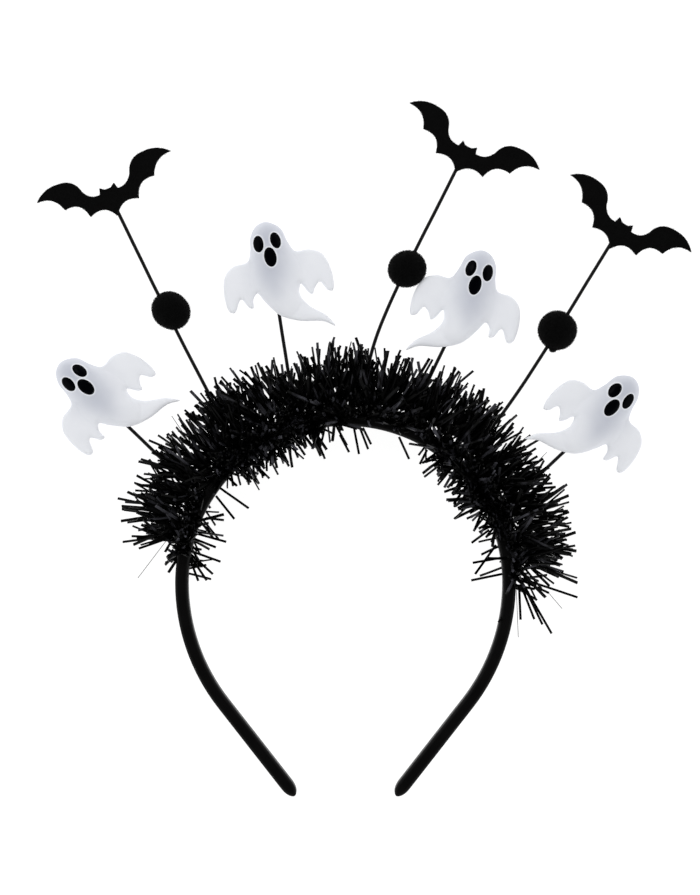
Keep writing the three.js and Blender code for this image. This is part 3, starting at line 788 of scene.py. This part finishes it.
# %% Tinsel tree: curl the free ends, keep above the floor and join the strips already there
along = add(tinsel, "GeometryNodeInputNamedAttribute", {"Name": "along"}, data_type="FLOAT")
curl_kept = add(tinsel, "GeometryNodeInputNamedAttribute", {"Name": "curl"}, data_type="FLOAT_VECTOR")
free = add(tinsel, "ShaderNodeMath", {0: along, 1: 2.0}, operation="POWER")
offset = add(tinsel, "ShaderNodeVectorMath", {0: curl_kept, "Scale": free}, operation="SCALE")
curled = add(tinsel, "GeometryNodeSetPosition", {"Geometry": whole, "Offset": offset})
kept = add(tinsel, "ShaderNodeVectorMath", {0: add(tinsel, "GeometryNodeInputPosition"), 1: lowest},
           operation="MAXIMUM")
above = add(tinsel, "GeometryNodeSetPosition", {"Geometry": curled, "Position": kept})
placed = add(tinsel, "GeometryNodeTransform",
             {"Geometry": above, "Translation": given["Arch Centre"], "Scale": given["Unit"]})
both = add(tinsel, "GeometryNodeJoinGeometry", {"Geometry": [given["Geometry"], placed]})
end_tree(tinsel, both, given["Material"])

# %% Tinsel
FILAMENT_WIDTH = 0.16
SEED_STEP = 100

garland = new_piece("tinsel_garland", [], [])
for number, (brush, (count, *numbers)) in enumerate(BRUSHES.items(), 1):
    values = dict(TINSEL_COMMON, Count=count, Seed=SEED_STEP * number)
    values.update(zip(BRUSH_COLUMNS, map(float, numbers)))
    if brush == "filaments":
        values["Width"] = FILAMENT_WIDTH
    run_tree(garland, tinsel, values)
print("brushes laid:", ", ".join(BRUSHES))

# %% [markdown]
# A few strips have slipped out of the brush and are easy to pick out against the light, and so are
# four hairs of film. They are laid one by one: a second tree turns a line from root to tip into a
# flat strip. A real hair is under 0.1 mm wide, too fine to show, so it is drawn coarser.

# %% Stray strips
# Root x and y, tip x and y, and how high the tip lies
STRAYS = [
    (58.2, 22.8, 53.4, 20.4, 2), (57.4, 21.2, 50.6, 16.0, -3), (60.2, 15.2, 51.8, 3.6, 1),
    (61.8, 10.0, 51.0, 8.0, -2), (62.6, 3.6, 50.2, 1.2, 3), (64.6, -10.8, 61.0, -15.2, 6),
    (70.6, 0.4, 82.2, -20.0, 4), (70.6, 0.4, 79.0, -16.8, -4), (70.0, -0.4, 75.4, -14.4, 2),
    (69.4, -0.6, 70.2, -14.8, -3), (71.0, 1.6, 92.6, -5.6, 3), (70.6, 1.0, 81.4, -4.0, 0),
    (-50.2, 38.0, -38.6, 30.0, 4), (-51.8, 34.8, -44.6, 25.6, -3), (-55.8, 26.0, -48.6, 25.2, 2),
    (-59.0, 19.6, -47.8, 16.4, -2), (-60.2, 17.6, -51.8, 14.4, 3), (-61.8, 12.8, -50.2, 8.4, -4),
    (-61.8, 10.4, -55.4, 1.2, 3), (-62.2, 9.6, -59.0, 0.8, -2), (-62.0, 11.6, -53.0, 3.6, 1),
    (-2.2, 59.2, 1.4, 52.4, 3), (3.4, 62.0, 5.4, 51.6, -2), (5.8, 62.0, 9.0, 53.6, 4),
    (7.0, 62.0, 10.2, 55.6, -4), (21.4, 58.4, 25.4, 49.6, 2), (32.6, 53.2, 29.8, 47.6, -2),
]
HAIRS = [
    (-66.3, 24.0, -83.0, 2.0, 1), (68.2, 1.0, 69.0, -21.6, 2), (81.2, -3.9, 86.6, -10.2, 0),
    (-61.0, 54.2, -69.4, 66.8, 2),
]
STRAY_SIZE = (0.95, 0.6)
HAIR_SIZE = (0.22, 0.22)


def stray_tree():
    tree, given = new_tree("stray_strips", {"Width": "Float", "Thickness": "Float", "Material": "Material"})
    lines = add(tree, "GeometryNodeMeshToCurve", {"Mesh": given["Geometry"]})
    section = add(tree, "GeometryNodeCurvePrimitiveQuadrilateral",
                  {"Width": given["Width"], "Height": given["Thickness"]})
    strips = add(tree, "GeometryNodeCurveToMesh",
                 {"Curve": lines, "Profile Curve": section, "Fill Caps": True})
    flat = add(tree, "GeometryNodeSetShadeSmooth", {0: strips, "Shade Smooth": False})
    end_tree(tree, flat, given["Material"])
    return tree


STRAY_TREE = stray_tree()

# %% Lay them and dress the garland
def lay_strips(name, rows, size):
    """Separate strips from their roots in the middle of the band's width to their tips."""
    points = []
    for root_x, root_y, tip_x, tip_y, tip_up in rows:
        points += [(root_x, root_y, 0.0), (tip_x, tip_y, tip_up)]
    strips = new_piece(name, points, [], edges=[(i, i + 1) for i in range(0, len(points), 2)])
    run_tree(strips, STRAY_TREE, {"Width": size[0] * MM, "Thickness": size[1] * MM, "Material": FILM_BLACK})
    return settle(strips)


strays = lay_strips("tinsel_strays", STRAYS, STRAY_SIZE)
hairs = lay_strips("tinsel_hairs", HAIRS, HAIR_SIZE)
garland = settle(garland)
dress(garland, "tinsel", "tinsel")
dress(strays, "tinsel", "tinsel")
dress(hairs, "tinsel", "tinsel")

# %% [markdown]
# ## Fuzz
# Pompoms and felt both end in loose fibres. One tree scatters thin spikes over a surface: each
# stands up by some degrees and has its own length, and they are joined to the surface below. A
# fibre is about 0.02 mm thick, too fine to show, so it is drawn coarser.

# %% Fuzz tree
SPIKE_SIDES = 3
SPIKE_TOP = 0.25


def fuzz_tree():
    tree, given = new_tree("loose_fibres", {
        "Density": "Float", "Shortest": "Float", "Longest": "Float", "Thickness": "Float",
        "Tilt": "Float", "Seed": "Int", "Material": "Material"})
    scatter = add(tree, "GeometryNodeDistributePointsOnFaces",
                  {"Mesh": given["Geometry"], "Density": given["Density"], "Seed": given["Seed"]}).outputs
    chance = {"ID": add(tree, "GeometryNodeInputIndex"), "Seed": given["Seed"]}
    lengths = add(tree, "FunctionNodeRandomValue",
                  {"Min": given["Shortest"], "Max": given["Longest"], **chance}, data_type="FLOAT")
    swing = add(tree, "FunctionNodeRandomValue",
                {"Min": (-1.0, -1.0, -1.0), "Max": (1.0, 1.0, 1.0), **chance}, data_type="FLOAT_VECTOR")
    tilt = add(tree, "ShaderNodeVectorMath", {0: swing, "Scale": given["Tilt"]}, operation="SCALE")
    aim = add(tree, "ShaderNodeVectorMath", {0: scatter["Normal"], 1: tilt}, operation="ADD")
    stand = add(tree, "FunctionNodeAlignRotationToVector", {"Vector": aim}, axis="Z")
    spike = add(tree, "GeometryNodeMeshCone", {"Vertices": SPIKE_SIDES, "Radius Top": SPIKE_TOP,
                                               "Radius Bottom": 1.0, "Depth": 1.0})
    size = add(tree, "ShaderNodeCombineXYZ",
               {"X": given["Thickness"], "Y": given["Thickness"], "Z": lengths})
    stood = add(tree, "GeometryNodeInstanceOnPoints",
                {"Points": scatter["Points"], "Instance": spike, "Rotation": stand, "Scale": size})
    both = add(tree, "GeometryNodeJoinGeometry", {"Geometry": [given["Geometry"], stood]})
    end_tree(tree, both, given["Material"])
    return tree


FUZZ_TREE = fuzz_tree()

# %% [markdown]
# ## Pompoms
# A pompom is yarn tied in the middle and trimmed to a ball by hand, so it is a little longer one
# way, and one has a tuft that the scissors missed. Its surface is all fibre ends: a slightly lumpy
# ball carries a dense coat of fuzz.

# %% Pompoms
BALL_LEVEL = 4
FIBRE_COAT = 0.2
POMPOM_LUMP = 0.3
LUMP_WAVES = 6
LUMP_PITCH = 3
TUFT_WIDTH = 8.0
POMPOM_SEED = 31
POMPOM_FUZZ = {"Density": 6.0 / MM ** 2, "Shortest": 0.2 * MM, "Longest": 0.6 * MM,
               "Thickness": 0.07 * MM, "Tilt": 0.6, "Material": POMPOM_BLACK}


def slanted(degrees):
    """A direction in the plane of the band."""
    return Matrix.Rotation(math.radians(degrees), 3, "Z") @ Vector((1.0, 0.0, 0.0))


def make_pompom(name, row, seed):
    slant, long_half, short_half = row["trim"]
    tuft_slant, tuft_length = row.get("tuft", (0.0, 0.0))
    mesh = bmesh.new()
    bmesh.ops.create_icosphere(mesh, subdivisions=BALL_LEVEL, radius=1.0)
    draw = np.random.default_rng(seed)
    waves = draw.normal(size=(LUMP_WAVES, 3))
    shifts = draw.uniform(0, 2 * math.pi, LUMP_WAVES)
    points = []
    for vert in mesh.verts:
        normal = vert.co.normalized()
        lumps = [math.sin(LUMP_PITCH * normal.dot(Vector(w)) + s) for w, s in zip(waves, shifts)]
        half = short_half + (long_half - short_half) * normal.dot(slanted(slant)) ** 2
        beside = math.degrees(normal.angle(slanted(tuft_slant))) / TUFT_WIDTH
        tuft = tuft_length * math.exp(-beside ** 2)
        reach = half - FIBRE_COAT + POMPOM_LUMP * sum(lumps) / LUMP_WAVES + tuft
        points.append(Vector((*row["pompom"], 0.0)) + normal * reach)
    faces = [[v.index for v in face.verts] for face in mesh.faces]
    mesh.free()
    ball = new_piece(f"pompom_{name}_ball", points, faces, POMPOM_BLACK)
    run_tree(ball, FUZZ_TREE, dict(POMPOM_FUZZ, Seed=seed))
    dress(settle(ball), "pompom", f"pompom_{name}")


for number, (bat, row) in enumerate(BATS.items()):
    make_pompom(bat, row, POMPOM_SEED + number)

# %% [markdown]
# ## Bats
# The bats are die-cut from thick felt. The outline is a few corners joined by bowed edges, the
# same on both sides. The sheet is built ring by ring from its back to its front, with both cut
# edges eased a little, and loose fibres stand off it. A figure is drawn flat, with its back at
# height 0. It is turned about its own upright line, rolled in the plane of the band and lifted
# until its back is where its solid's back is.

# %% Place a figure
def figure_matrix(node, row, outline):
    """Carries a figure from its own drawing to its place."""
    turn = Matrix.Rotation(math.radians(row["turn"]), 4, "Y")
    lowest = min((turn @ Vector((x, y, 0.0))).z for x, y in outline)
    lift = (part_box(node)[0].z - ARCH_CENTRE.z) / MM - lowest
    place = Matrix.Translation((*row["at"], lift))
    return place @ Matrix.Rotation(math.radians(row["roll"]), 4, "Z") @ turn


print("figures roll", [row["roll"] for row in (*BATS.values(), *GHOSTS.values())], "degrees")

# %% Bat outline
# x and y of each corner of the right half, and how far the edge to the next corner bows left
BAT_CORNERS = [
    (0, 0, 2.5), (10.6, 3.4, 2.6), (19.6, 9.6, 2.2), (29.5, 16.3, -1.4), (18.6, 20.2, -1.9),
    (10.6, 14.0, 1.3), (3.8, 10.2, 0), (3.1, 12.7, 0), (1.5, 11.5, 0), (0, 11.4, 0),
]
BOW_STEPS = 10
STRAIGHT_STEPS = 2


def bat_outline():
    half = []
    for (x0, y0, bow), (x1, y1, _) in zip(BAT_CORNERS, BAT_CORNERS[1:]):
        start, end = Vector((x0, y0)), Vector((x1, y1))
        run = end - start
        control = start + run / 2 + Vector((-run.y, run.x)).normalized() * 2 * bow
        steps = BOW_STEPS if bow else STRAIGHT_STEPS
        for step in range(steps):
            t = step / steps
            half.append(start * (1 - t) ** 2 + control * 2 * t * (1 - t) + end * t ** 2)
    top = Vector(BAT_CORNERS[-1][:2])
    return half + [top] + [Vector((-p.x, p.y)) for p in half[:0:-1]]


print(len(bat_outline()), "points round a bat")

# %% Bats
BAT_THICKNESS = 2.0
BAT_EASE = 0.3
EASE_STEPS = 3
BAT_SEED = 41
FELT_FUZZ = {"Density": 3.0 / MM ** 2, "Shortest": 0.3 * MM, "Longest": 0.8 * MM,
             "Thickness": 0.04 * MM, "Tilt": 1.6, "Material": FELT_BLACK}


def inset_ways(outline):
    """For each corner of an outline, the way that moves both its edges in by 1 mm."""
    ways = []
    for i, corner in enumerate(outline):
        back = (corner - outline[i - 1]).normalized()
        ahead = (outline[(i + 1) % len(outline)] - corner).normalized()
        ways.append(Vector((-back.y - ahead.y, back.x + ahead.x)) / (1 + back.dot(ahead)))
    return ways


def make_bat(name, row, seed):
    outline = bat_outline()
    ways = inset_ways(outline)
    place = figure_matrix(f"bat_{name}", row, outline)
    turns = [math.pi / 2 * step / EASE_STEPS for step in range(EASE_STEPS + 1)]
    rim = [(BAT_EASE * (1 - math.sin(t)), BAT_EASE * (1 - math.cos(t))) for t in turns]
    levels = rim + [(inset, BAT_THICKNESS - up) for inset, up in rim[::-1]]
    points = []
    for inset, up in levels:
        points += [place @ Vector((*(p + way * inset), up)) for p, way in zip(outline, ways)]
    felt = new_piece(f"bat_{name}_felt", points, tube_faces(len(levels), len(outline)), FELT_BLACK)
    felt.data.shade_flat()
    run_tree(felt, FUZZ_TREE, dict(FELT_FUZZ, Seed=seed))
    dress(settle(felt), "bat", f"bat_{name}")


for number, (bat, row) in enumerate(BATS.items()):
    make_bat(bat, row, BAT_SEED + number)

# %% [markdown]
# ## Ghosts
# A ghost is a thin pressed sheet of foam with a rounded rim, raised over the head and body. Its
# top is a height above each point of the outline: the rim rounds up to the sheet, the sheet swells
# slowly away from the rim, and two soft domes rise from it. The back is flat. Heights over a flat
# drawing are easier to match to a photograph than a sculpted or inflated sheet.

# %% Ghost outline
GHOST_OUTLINE = [
    (-1.0, 14.4), (3.2, 13.4), (6.2, 9.6), (7.5, 4.0), (9.4, 0.3), (15.6, -0.4), (19.6, -3.8),
    (21.4, -12.0), (20.5, -17.9), (18.6, -18.6), (15.0, -13.9), (12.5, -17.9), (10.9, -18.3),
    (10.2, -14.8), (8.2, -13.0), (5.9, -16.8), (1.0, -23.4), (-6.5, -27.2), (-15.2, -29.2),
    (-19.6, -32.0), (-17.0, -27.2), (-10.7, -21.4), (-8.4, -16.4), (-9.6, -12.7), (-12.0, -16.8),
    (-13.4, -17.7), (-14.8, -15.4), (-17.2, -13.5), (-19.6, -17.4), (-21.6, -17.9), (-22.8, -11.0),
    (-20.4, -2.6), (-15.8, 0.1), (-10.2, 0.6), (-8.0, 4.8), (-6.2, 10.8),
]
SPAN_STEPS = 7


def ghost_outline(tail):
    """The closed outline as close points, with its tail on the side that tail says."""
    corners = [Vector((-tail * x, y)) for x, y in GHOST_OUTLINE]
    wrapped = corners[-1:] + corners + corners[:2]
    loop = []
    for span in range(1, len(corners) + 1):
        loop += [spline_point(wrapped, span, step / SPAN_STEPS) for step in range(SPAN_STEPS)]
    return np.array([tuple(p) for p in loop])


print(len(ghost_outline(1)), "points round a ghost")

# %% Eyes and mouth
# Middle from the mouth, half sizes and turn in degrees
GHOST_FACE = [
    {"x": -3.4, "y": 6.1, "rx": 1.95, "ry": 3.15, "turn": -5.0},
    {"x": 3.6, "y": 6.1, "rx": 2.0, "ry": 3.2, "turn": 5.0},
    {"x": 0.0, "y": 0.0, "rx": 2.35, "ry": 3.72, "turn": 0.0},
]
FACE_SPREAD = 1.05
NEAR_MIDDLE = 0.01


def oval_seat(oval, row):
    """Middle and turn of an oval of the face, on a ghost of this row."""
    middle = np.array((-row["tail"] * oval["x"], oval["y"])) + row["face"]
    return middle, math.radians(-row["tail"] * oval["turn"])


def oval_gap(points, oval, row):
    """How far each point lies outside an oval of the face, less than 0 inside it."""
    middle, turn = oval_seat(oval, row)
    away = points - middle
    across = (away[:, 0] * math.cos(turn) + away[:, 1] * math.sin(turn)) / oval["rx"]
    up = (away[:, 1] * math.cos(turn) - away[:, 0] * math.sin(turn)) / oval["ry"]
    share = np.maximum(np.hypot(across, up) / FACE_SPREAD, NEAR_MIDDLE)
    return np.linalg.norm(away, axis=1) * (1 - 1 / share)


def oval_ring(oval, row, sides, share=1.0, gap=0.0):
    """Points round an oval of the face: a share of its size, or a gap outside it."""
    middle, turn = oval_seat(oval, row)
    half = np.array((oval["rx"], oval["ry"])) * FACE_SPREAD * share + gap
    angles = 2 * math.pi * np.arange(sides) / sides
    spokes = half * np.stack([np.cos(angles), np.sin(angles)], 1)
    return middle + spokes @ np.array(Matrix.Rotation(-turn, 2))


print(len(GHOST_FACE), "ovals on each face")

# %% Measure inside an outline
FLAT_EDGE = 1e-9


def edge_distance(points, loop):
    """How far each point lies from a closed outline."""
    run = np.roll(loop, -1, axis=0) - loop
    away = points[:, None, :] - loop[None]
    share = np.clip((away * run).sum(2) / (run * run).sum(1), 0, 1)
    return np.linalg.norm(away - share[..., None] * run, axis=2).min(1)


def inside(points, loop):
    """Which points lie inside a closed outline."""
    x0, y0 = loop.T
    x1, y1 = np.roll(loop, -1, axis=0).T
    px, py = points[:, :1], points[:, 1:]
    level = (y0 > py) != (y1 > py)
    cross = x0 + (py - y0) / np.where(y1 == y0, FLAT_EDGE, y1 - y0) * (x1 - x0)
    return (level & (px < cross)).sum(1) % 2 == 1


def spot_square(points, spot, tail):
    """Squared distance of each point from a spot's middle, in the spot's half sizes."""
    across = (points[:, 0] + tail * spot["x"]) / spot["rx"]
    up = (points[:, 1] - spot["y"]) / spot["ry"]
    return across ** 2 + up ** 2


MOUTH = np.zeros((1, 2))
print("a mouth lies", round(edge_distance(MOUTH, ghost_outline(1))[0], 1), "mm inside its ghost's outline")

# %% Ghost heights
GHOST_SHEET = 1.6
GHOST_RIM = 1.1
GHOST_SWELL = 0.9
SWELL_REACH = 3.0
GHOST_DOMES = [
    {"x": -0.4, "y": 3.6, "rx": 8.4, "ry": 12.0, "rise": 3.2},
    {"x": -0.8, "y": -9.5, "rx": 10.5, "ry": 15.5, "rise": 2.2},
]
DOME_EDGE = 2.6
DOME_POWER = 0.9
DOME_BLEND = 1.2


def rim_rise(distance):
    """How far the rounded rim has opened at a distance from the outline, from 0 to 1."""
    return np.sqrt(1 - (1 - np.clip(distance / GHOST_RIM, 0, 1)) ** 2)


def ghost_top(points, loop, tail):
    """Height of the front over each point."""
    distance = edge_distance(points, loop)
    rim = rim_rise(distance)
    swell = GHOST_SWELL * (1 - np.exp(-distance / SWELL_REACH))
    near = np.clip(distance / DOME_EDGE, 0, 1)
    domes = []
    for dome in GHOST_DOMES:
        domes.append(dome["rise"] * np.clip(1 - spot_square(points, dome, tail), 0, 1) ** DOME_POWER)
    most = np.maximum(*domes)
    near_equal = np.clip(DOME_BLEND - np.abs(domes[0] - domes[1]), 0, None)
    raised = (most + near_equal ** 2 / (4 * DOME_BLEND) * np.minimum(1, most)) * near * (2 - near)
    return GHOST_SHEET / 2 * (1 + rim) + swell * rim + raised


print("a ghost is", round(ghost_top(MOUTH, ghost_outline(1), 1)[0], 1), "mm thick at its mouth")

# %% Ghost shade
# Spots of painted shade on the head, under the mouth and down the body: middle, reach and most
GHOST_PAINTED_SHADES = [
    {"x": 0.4, "y": -5.0, "rx": 7.5, "ry": 7.0, "most": 0.7},
    {"x": -0.5, "y": 7.0, "rx": 8.6, "ry": 10.0, "most": 0.9},
    {"x": 1.2, "y": -11.5, "rx": 4.5, "ry": 7.0, "most": 0.46},
]
# Width of the painted light rim round each oval, which is kept out of the painted shade
PAINTED_LIGHT_RING = 0.5


def ghost_painted_shade(points, row):
    """How much painted shade each point has, from 0 to 1; a thin ring round each oval is left bright, a
    painted light rim.
    """
    unshaded = np.ones(len(points))
    for spot in GHOST_PAINTED_SHADES:
        unshaded = unshaded * (1 - spot["most"] * np.exp(-spot_square(points, spot, row["tail"])))
    shade = 1 - unshaded
    for oval in GHOST_FACE:
        outside = np.maximum(oval_gap(points, oval, row), 0)
        shade = shade * (1 - np.exp(-(outside / PAINTED_LIGHT_RING) ** 2))
    return shade


print("shade at the mouth's middle", ghost_painted_shade(MOUTH, GHOSTS["ghost_1"])[0])

# %% Ghost points
GRID = 0.6
GRID_ROW = 0.87 * GRID  # rows of even triangles
RIM_RINGS = (0.12, 0.35, 0.7)
RIM_TRUE = 0.93  # a point nearer the outline than this share of its ring's depth is left out
OVAL_RINGS = (0.0, 0.25, 0.5, 0.8, 1.15)
OVAL_SIDES = 44
PROBE = 0.05
GRID_TO_RIM = 0.35
GRID_TO_OVAL = 0.3
OVAL_TO_RIM = 0.2


def ghost_points(loop, row):
    """Outline points, rings just inside it and round the face, and an even grid over the rest."""
    ahead = np.roll(loop, -1, axis=0) - np.roll(loop, 1, axis=0)
    across = np.stack([ahead[:, 1], -ahead[:, 0]], 1) / np.linalg.norm(ahead, axis=1)[:, None]
    if not inside(loop[:1] + PROBE * across[:1], loop)[0]:
        across = -across
    layers = [loop]
    for depth in RIM_RINGS:
        ring = loop + depth * across
        layers.append(ring[(edge_distance(ring, loop) > RIM_TRUE * depth) & inside(ring, loop)])
    low, high = loop.min(0), loop.max(0)
    xs, ys = np.meshgrid(np.arange(low[0], high[0], GRID), np.arange(low[1], high[1], GRID_ROW))
    xs = xs + GRID / 2 * (np.arange(len(xs))[:, None] % 2)
    grid = np.stack([xs.ravel(), ys.ravel()], 1)
    grid = grid[inside(grid, loop)]
    grid = grid[edge_distance(grid, loop) > RIM_RINGS[-1] + GRID_TO_RIM]
    gaps = np.array([oval_gap(grid, oval, row) for oval in GHOST_FACE])
    layers.append(grid[((gaps < -GRID_TO_OVAL) | (gaps > OVAL_RINGS[-1] + GRID_TO_OVAL)).all(0)])
    for oval in GHOST_FACE:
        others = [other for other in GHOST_FACE if other is not oval]
        for gap in OVAL_RINGS:
            ring = oval_ring(oval, row, OVAL_SIDES, gap=gap)
            apart = np.array([oval_gap(ring, other, row) for other in others]).min(0) > gap
            layers.append(ring[apart & (edge_distance(ring, loop) > RIM_RINGS[-1] + OVAL_TO_RIM)])
    return np.concatenate(layers)


print(len(ghost_points(ghost_outline(1), GHOSTS["ghost_1"])), "points on a ghost's front")

# %% Ghost mesh
INSIDE_ONLY = 1
SAME_POINT = 1e-6
ON_OUTLINE = 1e-4


def make_ghost(name, row):
    loop = ghost_outline(row["tail"])
    flat = ghost_points(loop, row)
    edges = [(i, (i + 1) % len(loop)) for i in range(len(loop))]
    found = delaunay_2d_cdt([Vector(p) for p in flat], edges, [], INSIDE_ONLY, SAME_POINT)
    flat = np.array([tuple(p) for p in found[0]])
    triangles = [tuple(face) for face in found[2]]
    distance = edge_distance(flat, loop)
    top = ghost_top(flat, loop, row["tail"])
    back = GHOST_SHEET / 2 * (1 - rim_rise(distance))
    on_rim = distance < ON_OUTLINE
    under = np.where(on_rim, np.arange(len(flat)), np.cumsum(~on_rim) - 1 + len(flat))
    place = figure_matrix(name, row, loop)
    points = [place @ Vector((*p, z)) for p, z in zip(flat, top)]
    points += [place @ Vector((*p, z)) for p, z in zip(flat[~on_rim], back[~on_rim])]
    faces = triangles + [tuple(int(under[i]) for i in reversed(face)) for face in triangles]
    foam = new_piece(f"{name}_foam", points, faces, FOAM_WHITE)
    shade = ghost_painted_shade(flat, row)
    shade = np.concatenate([shade, shade[~on_rim]]).astype(np.float32)
    foam.data.attributes.new("shade", "FLOAT", "POINT").data.foreach_set("value", shade)
    dress(foam, "ghost", name)
    return loop, place


# %% [markdown]
# ### Faces
# Each eye and mouth is an oval drop of enamel on the foam. Its rim sinks into the foam and its
# middle stands a little proud, so that it catches a highlight as the real ones do.

# %% Ghosts and their faces
FACE_PROUD = 0.3
FACE_RIM = 0.06
FACE_SUNK = 0.5
FACE_RINGS = 7
FACE_SIDES = 32
FACE_ROUND = 4  # a higher power makes a flatter drop


def face_name(oval, tail):
    if oval["x"] == 0:
        return "mouth"
    return "eye_left" if -tail * oval["x"] < 0 else "eye_right"


def make_face(name, oval, row, loop, place):
    flat, proud = [oval_seat(oval, row)[0]], [FACE_PROUD + FACE_RIM]
    for ring in range(1, FACE_RINGS + 1):
        share = ring / FACE_RINGS
        flat += list(oval_ring(oval, row, FACE_SIDES, share))
        proud += [FACE_PROUD * (1 - share ** FACE_ROUND) + FACE_RIM] * FACE_SIDES
    surface = ghost_top(np.array(flat), loop, row["tail"])
    points = [place @ Vector((*p, z + h)) for p, z, h in zip(flat, surface, proud)]
    points += [place @ Vector((*flat[i], surface[i] - FACE_SUNK)) for i in range(-FACE_SIDES, 0)]
    faces = [(0, 1 + side, 1 + (side + 1) % FACE_SIDES) for side in range(FACE_SIDES)]
    faces += ring_faces(FACE_RINGS + 1, FACE_SIDES, first=1)
    faces.append(tuple(range(len(flat), len(points))))
    node = f"{name}_{face_name(oval, row['tail'])}"
    enamel = new_piece(f"{node}_enamel", points, faces, ENAMEL_BLACK)
    face_out(enamel)
    dress(enamel, "face", node)


for ghost, row in GHOSTS.items():
    loop, place = make_ghost(ghost, row)
    for oval in GHOST_FACE:
        make_face(ghost, oval, row, loop, place)
